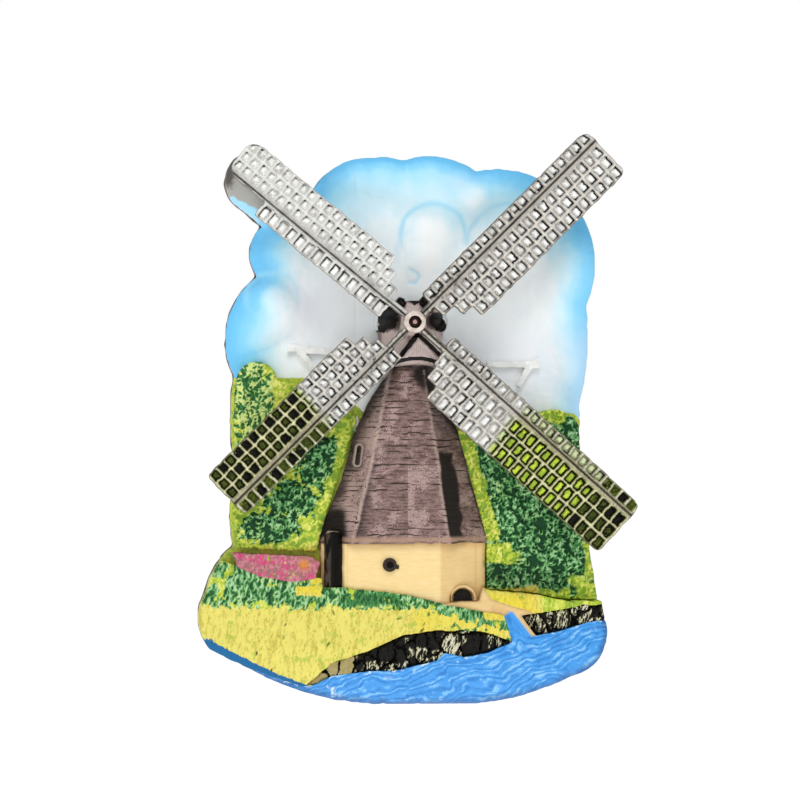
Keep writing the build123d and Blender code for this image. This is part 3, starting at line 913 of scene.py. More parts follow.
yellow = zones((1, 10.6, 19.4, -25.4, -21.7, 0.9, 1.0), (1, -16.3, -12.2, -22.7, -20.9, 0.4),
               (0.6, -14.4, -11.6, -21.0, -15.4, 0.5))
lowLine = np.interp(rx, [-30, 2, 6, 15, 16], [-24.0, -24.3, -25.2, -27.6, -29])
ragged = rz - lowLine + 0.7 * hills(1.2, 43) + 0.5 * grain(rx * 3, rz, 1.0, 47)
below = smooth(0.5, -0.5, ragged) * (rx < 17)
mixedGreen = smooth(1, 9, rx) * smooth(-0.15, 0.25, grain(rx + rz, rz - rx, 0.9, 45))
yellow = np.maximum(yellow, below * (1 - 0.75 * mixedGreen))
lime = np.maximum(lime, 0.6 * smooth(1.6, 0.2, ragged) * smooth(0.1, 0.5, grit(0.8, 49)) * (rx < 17))
gold = zone(10.6, 18.6, -25.0, -21.9, 0.9, 0.8, 9) + zone(-16.0, -11.6, -22.4, -15.5, 0.6, 0.8, 10)
gold = unit(gold + 0.6 * zone(1.0, 14.0, -28.0, -23.5, 1.5, 1.0, 11)) * 0.75
grassPatch = zone(-8.8, -1.4, -23.9, -22.0, 0.4)
pink = relief.corners(flowerMask, flowerMask) * smooth(-0.7, -0.1, hills(0.8, 51) + 0.25)
shoreStrip = smooth(1.35, 0.9, edgeOfPlaque + 0.2 * hills(1.0, 59)) * smooth(-27.5, -29.5, rz) * (rx < 0)
orange = hump(np.hypot(rx + 14.9, rz + 18.0), 0.7)
stroke = stroke * (1 - 0.75 * grassPatch)
clump = hills(leafShape["clumpSize"], 21)
treeTop = relief.corners(relief.soft(treeMask, 0.45), treeMask)
treeEdge = relief.inside(treeMask, 2.2)
roundOff = 0.7 * rounding(unit(treeEdge / 1.3))
plaqueEdge = 1.0 * rounding(unit(edgeOfPlaque / 1.2))
bushRise = leafShape["bushRise"] * (blur(np.minimum(bush, 1 - fringe), 3) - 0.6)
treeTop = treeTop + leafShape["clump"] * (clump - 0.35) - roundOff + bushRise
treeTop = treeTop + leafShape["leaf"] * (stroke - 0.5) * (0.45 + 0.55 * bush)
treeTop = treeTop + 0.08 * hills(0.6, 25) - 0.5 * plaqueEdge
grassTop = relief.corners(relief.soft(grassMask, 0.3), grassMask)
grassTop = grassTop + 0.18 * hills(2.6, 27) + leafShape["blade"] * (stroke - 0.45) * (1 - 0.5 * below)
grassTop = grassTop + 0.22 * (1 - below) * (rx < 17) + 0.05 * hills(0.5, 29) - plaqueEdge


def finishName(node):
    return node.title().replace("_", "")


for node in treeNodes + grassNodes:
    own = relief.has(node)
    top = np.minimum(treeTop if node in treeNodes else grassTop, landFront)
    # painted shade: darker in the hollows between leaves and blades, where the top lies below its blurred
    # surroundings
    hollowShadeAndJoints = unit((blur(top, 2) - top) * 3.2)
    if node == "trees_left":
        hollowShadeAndJoints = hollowShadeAndJoints * (1 - 0.4 * leftBush)
    if node in grassNodes:
        hollowShadeAndJoints = hollowShadeAndJoints * (0.55 - 0.4 * below)
    lift = 0.16 if node in grassNodes else 0.3 * (stroke - 0.45) + 0.35 * leftBush
    marks = {"stroke": stroke + lift, "hollowShadeAndJoints": hollowShadeAndJoints, "lime": lime, "yellow": yellow, "pink": pink,
             "dark": dark, "orange": orange, "water": shoreStrip, "tips": tips, "gold": gold}
    castRelief(node, own, top, marks, foliageFinish(finishName(node)))


print("relief: water and stones")
waterShape = {"ripple": 0.1, "pitch": 0.78}
riverMask = relief.has("river")
shoreGap = relief.reach(relief.has(*stoneNodes, "meadow", "towpath", "far_bank"), 9.0)
swirl = lumps(rx * 0.7, rz, 3.4, 101) * 1.3 + lumps(rx * 0.5, rz, 1.1, 105) * 0.12
phase = (shoreGap + swirl + 0.12 * rx) / waterShape["pitch"]
rippleA = 0.5 + 0.5 * np.sin(2 * np.pi * phase)
rippleB = 0.5 + 0.5 * np.sin(2 * np.pi * (phase * 1.7 + rz * 0.2 + 0.3 * lumps(rx * 0.7, rz, 1.3, 107)))
crest = np.clip(0.5 * rippleA + 0.3 * rippleB + 0.2 + 0.2 * hills(0.7, 109), 0, 1.2)
foam = smooth(0.5, 0.15, shoreGap) * smooth(0.1, 0.6, grit(0.7, 111)) * 0.8
foam = np.maximum(foam, smooth(0.5, 0.75, grain(rx * 0.5, rz, 0.4, 113)) * smooth(2.6, 0.8, shoreGap) * 0.6)
foam = foam * (1 - zone(12.5, 18.5, -30.0, -24.0, 0.5))
frothLeft = smooth(-0.1, 0.5, lumps(rx, rz * 1.6, 1.2, 119))
frothFront = smooth(0.0, 0.5, lumps(rx, rz * 1.6, 1.2, 118))
foam = strongest(foam, 0.75 * zone(-12.0, -5.0, -37.4, -34.8, 1.2) * frothLeft,
                 0.6 * zone(-2.0, 9.0, -38.6, -36.8, 1.0) * frothFront)
riverTop = surface(riverMask, 0.4)
riverTop = riverTop + waterShape["ripple"] * (crest - 0.6) * 1.4 + 0.12 * hills(3.0, 115) - 1.1 * plaqueEdge
deepEdge = 0.9 * smooth(1.3, 0.0, edgeOfPlaque + 0.3 * hills(1.2, 117))
riverMarks = {"crest": crest, "foam": foam, "dark": deepEdge}
castRelief("river", riverMask, np.minimum(riverTop, waterFront), riverMarks, waterFinish())


stoneShape = {"block": 2.3, "blockStep": 0.8, "crack": 0.45, "stroke": 0.2}
stonePaint = stoneFinish()
stoneMask = relief.has(*stoneNodes)
gap, number = crackle(rx * 1.15 + 0.5 * hills(1.3, 121), rz * 0.6 + 0.4 * hills(1.3, 123),
                      stoneShape["block"], 125)
pebbles = zone(-14.6, -7.2, -35.4, -31.0, 0.5)
scrape = Strokes(relief).lay(stoneMask, 5.0, 1.7, 0.17, 74, 16, 126, bend=0.12).field
scrape = np.maximum(scrape, Strokes(relief).lay(stoneMask, 0.7, 1.1, 0.18, 150, 20, 128, bend=0.2).field)
chosen = smooth(-0.15, 0.3, grit(1.8, 129) + (number - 0.45))
for node in stoneNodes:
    own = relief.has(node)
    top = surface(own, 0.3)
    ownEdge = unit(relief.inside(own, 1.2) / 0.8)
    body = stoneShape["blockStep"] * (number - 0.65) - stoneShape["crack"] * smooth(0.35, 0.0, gap)
    top = top + body + stoneShape["stroke"] * (scrape - 0.4) + 0.22 * lumps(rx * 1.5, rz, 0.8, 127)
    top = top - 0.5 * (1 - ownEdge) ** 2 - 0.6 * plaqueEdge
    top = np.minimum(top, stoneFront)
    upper = 0.3 * smooth(1.4, 0.3, relief.reach(grassMask, 2.0)) + 0.8 * (rx > 14)
    scraped = 1.25 * scrape * np.maximum(chosen, upper) * smooth(0.05, 0.3, gap)
    raised = np.clip(scraped + 0.12 * number, 0, 1.2)
    # dark in the cracks between the blocks, which are joints, and painted shade in the hollows
    hollowShadeAndJoints = unit(smooth(0.3, 0.05, gap) + (blur(top, 3) - top) * 1.5)
    marks = {"raised": raised, "hollowShadeAndJoints": hollowShadeAndJoints, "sand": pebbles * smooth(0.2, 0.5, gap)}
    castRelief(node, own, top, marks, stonePaint)

wallPaint = wallFinish()
own = relief.has("towpath")
top = surface(own, 0.3) + 0.1 * hills(1.2, 131) - plaqueEdge
waterline = np.interp(-rz, [24.0, 24.9, 28.4, 30.0], [14.4, 15.3, 18.0, 19.0])
wet = smooth(0.25, -0.25, rx - waterline) * smooth(14.2, 14.8, rx) * smooth(-24.6, -25.0, rz)
# darker brown along the path's edges
pathMarks = {"shade": unit(0.55 + 0.4 * hills(1.4, 133)),
             "darkEdges": smooth(0.5, 0.1, relief.inside(own, 1.0)) * 0.3, "water": wet}
castRelief("towpath", own, top, pathMarks, wallPaint)


print("mill: tower, walls and cap")
thatchShape = {"course": 0.92, "courseDepth": 0.13, "reed": 0.04, "ridge": 0.2}
# the two ridges of the tower's front, from the cap down to the eave
ridgeLeft = [(-2.2, 10.2), (-3.5, 5.1), (-5.4, -4.0), (-7.0, -10.5), (-7.9, -14.3)]
ridgeRight = [(2.5, 10.0), (3.0, 5.8), (4.35, -2.2), (5.1, -9.4), (6.0, -15.2)]
eaveFoot = edges("mill_tower")[2]
own = towerMask
towerTop = surface(own, 0.3)
swayX = rx + 0.12 * hills(1.3, 139)
awayLeft = farFrom(swayX, rz, ridgeLeft)
awayRight = farFrom(swayX, rz, ridgeRight)
sideLeft = swayX - np.interp(-rz, [-p[1] for p in ridgeLeft], [p[0] for p in ridgeLeft])
sideRight = swayX - np.interp(-rz, [-p[1] for p in ridgeRight], [p[0] for p in ridgeRight])
ridge = 0.85 * hump(awayLeft, 0.24) + 0.6 * hump(awayRight, 0.26)
ridge = ridge * (0.75 + 0.35 * hills(0.8, 137))
ridgeRise = hump(awayLeft, 0.4) + 0.8 * hump(awayRight, 0.45)
leftFacet = smooth(0.3, -0.3, sideLeft)
rightFacet = smooth(-0.1, 0.3, sideRight)
course = thatchShape["course"] * (1 - 0.22 * leftFacet)
wander = 0.2 * hills(2.4, 141) + 0.12 * lumps(rx * 0.5, rz, 0.8, 143) + 0.3 * leftFacet + 0.4 * rightFacet
wander = wander - 0.05 * rx * rightFacet
phase = (rz + wander) / course
saw = phase - np.floor(phase)
strength = np.clip(0.75 + 0.6 * grain(rx, rz * 2.2, 2.0, 145), 0.1, 1.2)
groove = hump(saw - 0.12, 0.11) * strength
thatch = thatchShape["courseDepth"] * ((1 - saw) * 0.9 - groove * 1.3)
reeds = thatchShape["reed"] * lumps(rx * 3.0, rz * 0.8, 1.0, 147)
nearEave = smooth(eaveFoot + 1.15, eaveFoot + 0.55, rz)
towerTop = towerTop + (thatch + reeds) * (1 - nearEave) + 0.06 * hills(0.45, 149) + 0.05 * nearEave
towerTop = towerTop + thatchShape["ridge"] * ridgeRise * (1 - nearEave)
# black is mostly painted shade: dark beside the left ridge, over the right facet, along the tower's edges
# and in its lower-left corner, with the painted shadows of the lower sails across the tower and of the slit
# window's frame; only the slit window's dark inside is paint
lowDown = smooth(3.0, -12.0, rz)
fadeRight = np.exp(-np.clip(sideLeft, 0, 99) / (0.9 + 0.7 * lowDown))
black = (0.55 + 0.42 * lowDown) * fadeRight * smooth(0.0, 0.5, sideLeft)
black = black + 0.38 * rightFacet
patchEnd = smooth(-1.2, -2.4, rz + 0.3 * grit(1.2, 151))
bar = smooth(0.0, 0.4, sideRight) * smooth(3.0, 2.2, sideRight + 0.4 * grit(1.6, 153))
leftEdge = smooth(2.2, 0.2, relief.inside(own, 2.4) + 0.5 * hills(1.3, 158)) * leftFacet
left, right, foot, top = edges("slit_window")
black = strongest(black, 0.95 * bar * patchEnd,
                  0.95 * zone(-13.5, -8.2, -15.5, -9.8, 1.2, 0.8, 155) * leftFacet,
                  smooth(2.4, 0.5, farFrom(rx, rz, [(2.2, 9.5), (9.3, 0.4)])),
                  0.85 * smooth(1.8, 0.4, farFrom(rx, rz, [(-4.2, 10.0), (-9.7, 4.0)])),
                  0.75 * smooth(0.8, 0.1, relief.inside(own, 1.2)) * (1 - nearEave),
                  0.8 * leftEdge * (1 - nearEave),
                  0.75 * zone(left + 0.35, right - 0.35, foot + 0.35, top - 0.35, 0.3, 0.1),
                  0.6 * zone(left - 0.4, right + 0.1, foot - 0.5, top + 0.1, 0.6, 0.3))
black = black * (1 - 0.85 * unit(ridge))
lip = nearEave * smooth(0.1, 0.5, relief.inside(own, 1.0)) * (0.8 + 0.3 * hills(1.0, 157))
line = groove * (1 - nearEave)
bright = smooth(-0.2, 0.6, hills(2.2, 159)) + leftFacet * 0.8
towerMarks = {"ridge": unit(ridge) * (1 - nearEave), "line": line, "black": unit(black),
              "lip": unit(lip), "bright": bright}
towerTop = np.minimum(towerTop, landFront)
castRelief("mill_tower", own, towerTop, towerMarks, thatchFinish(), "_thatched")

own = relief.has("mill_base")
baseTop = surface(own, 0.16)
baseTop = baseTop + 0.035 * lumps(rx * 0.35, rz * 1.6, 0.8, 161) + 0.06 * hills(1.6, 163)
baseEdge = relief.inside(own, 1.4)
wallTop = edges("mill_base")[3]
underEave = smooth(wallTop - 1.3, wallTop - 0.2, rz)
baseShade = 0.45 * smooth(4.6, 5.0, rx) + 0.4 * smooth(0.6, 0.1, baseEdge) + 0.4 * underEave
baseShade = baseShade + 0.35 * hump(rx + 8.7, 0.14) + 0.3 * hump(rx - 10.1, 0.16)
archLow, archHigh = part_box("arch_lintel")
archX = (archLow.x + archHigh.x) / 2 / mm
archFoot = archLow.z / mm
archRise = (archHigh.z - archLow.z) / mm
archOver = np.hypot((rx - archX) / (halfWidth("arch_lintel") * 0.8), (rz - archFoot) / (archRise * 0.8))
niche = smooth(1.1, 0.9, archOver + 0.12 * hills(0.7, 167)) * (rz > archFoot + 0.1)
# darker brown along the wall's edges
baseMarks = {"shade": unit(baseShade + 0.08 * hills(0.9, 165)),
             "darkEdges": 0.4 * smooth(0.3, 0.0, baseEdge), "black": niche}
castRelief("mill_base", own, baseTop, baseMarks, wallPaint)

own = relief.has("mill_cap")
capTop = surface(own, 0.3)
capLumps = [(-2.9, 17.4, 1.5, 1.2), (-3.6, 16.2, 0.7, 0.7), (-2.0, 18.9, 1.0, 0.7), (3.2, 19.6, 1.0, 0.8),
            (4.2, 17.4, 1.2, 1.0), (0.9, 20.3, 0.8, 0.5)]
gableLine = [(-0.9, 12.3), (1.4, 15.3), (4.7, 12.3)]


def gableFields(x, z):
    # the black legs of the gable, its pale rim, and the dark band under it
    wobbleX = x + 0.12 * lumps(x, z, 0.9, 171)
    legs = farFrom(wobbleX, z, gableLine)
    arched = z + 0.06 * (x - 1.4) ** 2 + 0.08 * lumps(x, z, 1.0, 172)
    under = smooth(12.2, 12.0, arched) * smooth(11.4, 11.6, arched) + 0.8 * hump(arched - 10.85, 0.13)
    inside = (z < np.interp(wobbleX, [p[0] for p in gableLine], [p[1] for p in gableLine])) * (z > 11.9)
    rim = hump(legs - 0.62, 0.13) * inside + 0.8 * hump(arched - 11.15, 0.13)
    return unit(smooth(0.42, 0.24, legs) + 0.9 * under), unit(rim)


capRise = np.zeros(rx.shape)
for px, pz, radius, height in capLumps:
    away = np.hypot(rx - px, rz - pz) + 0.3 * hills(0.8, 173)
    capRise = np.maximum(capRise, height * np.sqrt(unit(1 - (away / radius) ** 2)))
legsBlack, legsRim = gableFields(rx, rz)
capTop = np.minimum(capTop + capRise + 0.12 * hills(0.9, 175) + 0.05 * lumps(rx * 3, rz, 1.0, 177), 11.95)
capBlack = unit(smooth(0.05, 0.35, capRise) + legsBlack + smooth(10.7, 10.2, rz))
capSky = (smooth(4.95, 5.25, rx) + smooth(-4.15, -4.4, rx)) * smooth(13.2, 14.2, rz)
# painted shade in the cap's hollows and along its edges
capMarks = {"hollowShadeAndJoints": unit((blur(capTop, 3) - capTop) * 3) + 0.6 * smooth(0.7, 0, relief.inside(own, 1)),
            "black": capBlack, "rim": 0.6 * legsRim, "sky": capSky}
castRelief("mill_cap", own, capTop, capMarks, capFinish())


print("mill: small parts")
blackPaint = blackFinish()


def smallPiece(node, step, softness, finish, detail=None, marks=None, sway=0.05):
    # a part of one CAD node on its own finer sheet; detail adds relief, marks say where paint goes
    sheet = Sheet([node], step, sway=sway, swaySize=0.8, seed=211, margin=0.3)
    own = sheet.owner >= 0
    top = sheet.corners(sheet.soft(own, softness), own)
    rim = unit(sheet.inside(own, 0.5) / 0.22)
    top = top - 0.18 * rounding(rim) + 0.02 * lumps(sheet.u, sheet.v, 0.5, 213)
    if detail:
        top = top + detail(sheet)
    foot = np.full(top.shape, depths(node)[0])
    fields = marks(sheet, top) if marks else {}
    mesh = reliefMesh(node, sheet, own, top, foot, fields)
    addPiece(node + "_painted", mesh, "plaque", finish, [node])


# painted highlight on the round window's raised rim and knob
def raisedHighlightMarks(sheet, top):
    return {"wearAndHighlight": np.clip((top - blur(top, 4)) * 4, 0, 0.5)}


def doorMarks(sheet, top):
    across = (sheet.u - middle("door_post").x) / 1.2
    low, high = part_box("door_post")
    hood = 0.9 * hump(sheet.v - (high.z / mm - 0.35 - 0.25 * across ** 2), 0.1)
    flecks = smooth(0.1, 0.5, 0.5 + lumps(sheet.u * 3, sheet.v * 0.6, 1.2, 223))
    # paler flecks on the door's left side
    paleLeftFlecks = 0.62 * smooth(-0.1, -0.45, across) * flecks
    return {"wearAndHighlight": unit(paleLeftFlecks + hood)}


def doorGrain(sheet):
    return 0.06 * lumps(sheet.u * 3.0, sheet.v * 0.35, 1.0, 217)


def frameMarks(sheet, top):
    low, high = depths("slit_window")
    rim = smooth(high - 0.5, high - 0.2, top + 0.1)
    edge = smooth(0.45, 0.3, sheet.inside(sheet.owner >= 0, 0.6))
    return {"wearAndHighlight": unit(rim * edge)}


boardPitch = 0.62


def gableMarks(sheet, top):
    black, rim = gableFields(sheet.u, sheet.v)
    swayU = sheet.u + 0.1 * lumps(sheet.u, sheet.v, 0.9, 215)
    boards = unit(np.cos(2 * np.pi * swayU / boardPitch) ** 8) * 0.35
    return {"black": black, "hollowShadeAndJoints": boards, "rim": 0.7 * rim}


def boardGrooves(sheet):
    black, rim = gableFields(sheet.u, sheet.v)
    grooves = unit(np.cos(2 * np.pi * sheet.u / boardPitch) ** 8)
    return -0.06 * grooves + 0.12 * rim - 0.12 * black + 0.06 * lumps(sheet.u, sheet.v, 0.6, 221)


# darker brown along the lintel's edges
def wallMarks(sheet, top):
    return {"shade": unit(0.5 + 0.3 * lumps(sheet.u, sheet.v, 0.7, 219)),
            "darkEdges": smooth(0.3, 0.05, sheet.inside(sheet.owner >= 0, 0.4)) * 0.5}


smallPiece("door_post", 0.08, 0.1, blackPaint, doorGrain, doorMarks)
smallPiece("round_window", 0.05, 0.05, blackPaint, None, raisedHighlightMarks, 0.02)
smallPiece("slit_window", 0.06, 0.06, blackPaint, None, frameMarks, 0.04)
smallPiece("cap_gable", 0.07, 0.08, capFinish("gablePaint"), boardGrooves, gableMarks)
smallPiece("arch_lintel", 0.07, 0.1, wallPaint, None, wallMarks)
whiteLook = {"first": "#e6e7e4", "second": "#fdfdfa", "roughness": 0.4, "scale": 0.8, "coat": 0.1}
whitePaint = plainFinish("whitePaint", **whiteLook)
for brace in ("tail_brace_left", "tail_brace_right"):
    smallPiece(brace, 0.08, 0.12, whitePaint, None, None, 0.1)


def lathe(name, profile, centre, steps=72, wobble=0.0):
    # profile: radius and depth in mm, going round the section once
    points = []
    for k in range(steps):
        angle = 2 * math.pi * k / steps
        for radius, depth in profile:
            spot = Vector((math.cos(angle) * radius, math.sin(angle) * radius, depth))
            shake = wobble * noise.noise(spot * 1.7)
            reach = radius + shake if radius > 0.01 else radius
            points.append(((centre[0] + reach * math.cos(angle)) * mm, -depth * mm,
                           (centre[1] + reach * math.sin(angle)) * mm))
    count = len(profile)
    faces = []
    for k in range(steps):
        for i in range(count):
            a = k * count + i
            b = k * count + (i + 1) % count
            c = ((k + 1) % steps) * count + (i + 1) % count
            d = ((k + 1) % steps) * count + i
            faces.append((a, b, c, d))
    mesh = bpy.data.meshes.new(name)
    mesh.from_pydata(points, [], faces)
    work = bmesh.new()
    work.from_mesh(mesh)
    bmesh.ops.remove_doubles(work, verts=work.verts, dist=1e-7)
    bmesh.ops.recalc_face_normals(work, faces=work.faces)
    work.to_mesh(mesh)
    work.free()
    return mesh


def arc(radius, depth, size, start, end, steps=6):
    # points of a rounded corner in a section
    turns = [math.radians(start + (end - start) * k / steps) for k in range(steps + 1)]
    return [(radius + size * math.cos(a), depth + size * math.sin(a)) for a in turns]


print("sails: hub, pin and washer")
hubShape = {"bore": 0.45, "counterbore": 0.8, "floor": 14.3, "round": 0.28, "wobble": 0.05}
hub = (hubX, hubZ)
hubBack, hubFront = depths("sail_hub")
hubRadius = halfWidth("sail_hub")
r = hubShape["round"]
section = [(hubShape["bore"], hubBack)]
section += arc(hubRadius - r, hubBack + r, r, -90, 0)
section += arc(hubRadius - 0.02 - r, hubFront - r, r, 0, 90)
section += arc(hubShape["counterbore"] + r, hubFront - r, r, 90, 180)
section += arc(hubShape["counterbore"] - 0.12, hubShape["floor"] + 0.12, 0.12, 0, -90, 3)
section += [(hubShape["bore"], hubShape["floor"])]


def markRound(mesh, name, centre, inner, outer):
    # 1 near the middle and 0 away from it, for paint that follows the turning
    layer = mesh.attributes.new(name, "FLOAT", "POINT")
    values = []
    for v in mesh.vertices:
        away = math.hypot(v.co.x / mm - centre[0], v.co.z / mm - centre[1])
        away += 0.06 * noise.noise(v.co / mm * 2.2)
        values.append(1.0 - min(1.0, max(0.0, (away - inner) / (outer - inner))))
    layer.data.foreach_set("value", values)
    return mesh


hubLook = {"silver": "#c5b5aa", "pale": "#e3d6cb", "dark": "#2b1e19"}
pinLook = {"dark": "#2a1e1a", "light": "#b98f86"}


def hubFinish():
    f = Finish("hubPaint", hubLook)
    speck = f.grains(4.0, 3.0)
    wide = f.grains(1.2, 3.0)
    f.base(wide.rough(speck, 0.3).within(0.35, 0.65), "silver", "pale")
    f.coat(f.mark("dark").rough(speck, 0.3).within(0.3, 0.7), "dark")
    bumps = [(speck, 0.2, 0.06), (wide, 0.2, 0.12)]
    return f.done(0.35 + 0.2 * speck, bumps, metallic=0.1, coat=0.1)


def pinFinish():
    f = Finish("pinSteel", pinLook)
    speck = f.grains(4.0, 3.0)
    # paler middle of the pin's end: a painted highlight
    f.base(f.mark("light").rough(speck, 0.3).within(0.35, 0.65), "dark", "light")
    return f.done(0.35 + 0.2 * speck, [(speck, 0.25, 0.06)], metallic=0.25)


hubMesh = markRound(lathe("hub", section, hub, 96, hubShape["wobble"]), "dark", hub, 0.86, 0.98)
addPiece("sail_hub_turned", hubMesh, "sail_cross", hubFinish(), ["sail_hub"])
pinBack, pinFront = depths("axle_pin")
pinShape = {"radius": 0.4, "headRadius": 0.7, "headBack": 14.35}
pinRadius = pinShape["radius"]
headRadius = pinShape["headRadius"]
headBack = pinShape["headBack"]
pinSection = [(0.0, pinBack), (pinRadius - 0.04, pinBack), (pinRadius, pinBack + 0.05)]
pinSection += [(pinRadius, headBack)]
pinSection += [(headRadius - 0.08, headBack), (headRadius, headBack + 0.08)]
pinSection += arc(headRadius - 0.1, pinFront - 0.3, 0.1, 0, 80, 4)
pinSection += [(0.42, pinFront - 0.18), (0.34, pinFront - 0.06), (0.26, pinFront), (0.0, pinFront)]
# the pin's end is paler in the middle: a painted highlight
pinMesh = markRound(lathe("pin", pinSection, hub, 64, 0.02), "light", hub, 0.26, 0.36)
addPiece("axle_pin_turned", pinMesh, "plaque", pinFinish(), ["axle_pin"])
washerBack, washerFront = depths("spacer_washer")
washerBore = 0.47
s = (washerFront - washerBack) / 2
washerSection = arc(halfWidth("spacer_washer") - s, washerBack + s, s, -90, 90, 8)
washerSection += arc(washerBore + s, washerBack + s, s, 90, 270, 8)
nylonLook = {"first": "#dcd8cc", "second": "#c9c3b2", "roughness": 0.45, "scale": 1.5}
nylon = plainFinish("nylon", **nylonLook)
washer = lathe("washer", washerSection, hub, 72)
addPiece("spacer_washer_turned", washer, "plaque", nylon, ["spacer_washer"])

# a small white hook on the tower's left side
hook = {"points": [(-7.3, 3.4), (-6.9, 3.0), (-6.95, 2.3), (-7.35, 1.8), (-7.2, 1.2)], "radius": 0.24}


def surfaceDepth(x, z):
    # depth of the CAD relief at that spot
    row = int((z - rz[0, 0]) / relief.step)
    column = int((x - rx[0, 0]) / relief.step)
    return relief.depth[row, column]


def bentRod(name, points, radius, lift, around=12, between=6):
    # a round rod along a smooth curve through the points, lying on the relief
    work = bmesh.new()
    path = []
    for k in range((len(points) - 1) * between + 1):
        i = min(k // between, len(points) - 2)
        t = k / between - i
        before = points[max(i - 1, 0)]
        after = points[min(i + 2, len(points) - 1)]
        a, b = points[i], points[i + 1]
        spot = []
        for n in (0, 1):
            bend = (2 * before[n] - 5 * a[n] + 4 * b[n] - after[n]) * t * t
            twist = (3 * (a[n] - b[n]) + after[n] - before[n]) * t ** 3
            spot.append(0.5 * (2 * a[n] + (b[n] - before[n]) * t + bend + twist))
        path.append(spot)
    rings = []
    for k, (x, z) in enumerate(path):
        ahead = path[min(k + 1, len(path) - 1)]
        behind = path[max(k - 1, 0)]
        way = Vector((ahead[0] - behind[0], ahead[1] - behind[1])).normalized()
        thick = radius * (0.85 + 0.25 * noise.noise(Vector((x, z, 3.0)) * 1.5))
        thick = thick * min(1.0, 0.55 + 0.3 * k, 0.55 + 0.3 * (len(path) - 1 - k))
        depth = surfaceDepth(x, z) + lift
        ring = []
        for n in range(around):
            turn = 2 * math.pi * n / around
            out = thick * math.cos(turn)
            spot = ((x - way.y * out) * mm, -(depth + thick * math.sin(turn)) * mm, (z + way.x * out) * mm)
            ring.append(work.verts.new(spot))
        rings.append(ring)
    for first, second in zip(rings[:-1], rings[1:]):
        for n in range(around):
            work.faces.new((first[n], first[(n + 1) % around], second[(n + 1) % around], second[n]))
    work.faces.new(rings[0][::-1])
    work.faces.new(rings[-1])
    bmesh.ops.recalc_face_normals(work, faces=work.faces)
    mesh = bpy.data.meshes.new(name)
    work.to_mesh(mesh)
    work.free()
    return mesh


hookRod = bentRod("hook", hook["points"], hook["radius"], 0.1)
addPiece("tower_hook", hookRod, "plaque", whitePaint)

# black knobs on the cap beside the hub: middle, radius, depth of the front
knobs = {"disc": (4.7, 16.6, 0.9, 11.0), "knob": (-0.9, 19.9, 0.7, 10.6), "lump": (2.6, 20.0, 0.75, 10.4)}
knobFoot = 8.5
for label, (px, pz, radius, front) in knobs.items():
    knobSection = [(0.0, knobFoot), (radius, knobFoot)] + arc(radius - 0.25, front - 0.25, 0.25, 0, 75, 5)
    knobSection += [(radius * 0.45, front - 0.12), (radius * 0.3, front - 0.02), (0.0, front + 0.02)]
    mesh = lathe(label, knobSection, (px, pz), 48, 0.3)
    layer = mesh.attributes.new("wearAndHighlight", "FLOAT", "POINT")
    wearAndHighlight = [0.25 + 0.4 * noise.noise(v.co * 2500) for v in mesh.vertices]
    layer.data.foreach_set("value", wearAndHighlight)
    addPiece("cap_" + label, mesh, "plaque", blackPaint)


print("sails: lattices")
sailBack = 12.4
sailFrontMost = 14.95
pitDepth = 13.7  # what lies deeper than this is the floor of a pit
sparDepth = 14.3  # what lies nearer than this is the spar
# angle in degrees; along and across: which sides of the pits get painted shade; green and deep: where the
# landscape's paint and its black begin, in mm from the hub; round: radius of the tip's corners;
# contrast and white: strengths at distances from the hub; cool: whiter silver; lines: how much painted
# shade lies along the pits' dark sides rather than only in their corners
lookAlong = {
    "sail_upper_right": {
        "angle": 44.9, "along": 1, "across": -1, "green": 99, "deep": 99, "round": 1.1,
        "contrast": [(0, 1.05), (40, 0.95)], "white": [(0, 0.7), (40, 0.8)], "cool": 0.0, "lines": 1.0},
    "sail_upper_left": {
        "angle": 140.6, "along": 1, "across": -1, "green": 99, "deep": 99, "round": 2.0,
        "contrast": [(0, 1.0), (16, 1.1), (20, 0.8), (40, 0.7)],
        "white": [(0, 0.9), (40, 0.85)], "cool": 0.9, "lines": 0.3},
    "sail_lower_left": {
        "angle": 225.0, "along": -1, "across": 1, "green": 18.8, "deep": 18.8, "round": 0.8,
        "contrast": [(0, 1.0), (40, 1.0)], "white": [(0, 0.8), (40, 0.8)], "cool": 0.15, "lines": 1.0},
    "sail_lower_right": {
        "angle": 318.2, "along": 1, "across": 1, "green": 20.3, "deep": 35.5, "round": 0.9,
        "contrast": [(0, 0.8), (9, 0.8), (11, 1.2), (14, 1.2), (16, 0.6), (20, 0.6), (22, 1.1)],
        "white": [(0, 0.6), (40, 0.7)], "cool": 0.1, "lines": 0.8},
}
silverPaint = silverFinish()


def pitNumbers(pits, rounds=26):
    # one random number for each pit
    ids = np.where(pits, np.arange(pits.size).reshape(pits.shape), -1)
    for k in range(rounds):
        p = np.pad(ids, 1, constant_values=-1)
        best = np.maximum.reduce([ids, p[:-2, 1:-1], p[2:, 1:-1], p[1:-1, :-2], p[1:-1, 2:]])
        ids = np.where(pits, best, -1)
    return np.random.default_rng(7).random(pits.size)[ids]


def pitSides(sheet, pits, along, across, cells=3):
    everywhere = np.ones(pits.shape, bool)
    lengthwise = sheet.corners(pits & ~np.roll(pits, -cells * along, axis=1), everywhere)
    crosswise = sheet.corners(pits & ~np.roll(pits, -cells * across, axis=0), everywhere)
    return lengthwise, crosswise


def trimCorners(sheet, own, radius):
    # takes the sharp outer corners off a sail's tip
    cu, cv = sheet.cu, sheet.cv
    tip = cu[own].max()
    for sign in (-1, 1):
        nearTip = own & (cu > tip - 2.0) & (cv * sign > 0)
        if nearTip.any():
            side = (cv[nearTip] * sign).max()
            du = cu - (tip - radius)
            dv = cv * sign - (side - radius)
            own = own & ~((du > 0) & (dv > 0) & (np.hypot(du, dv) > radius))
    return own


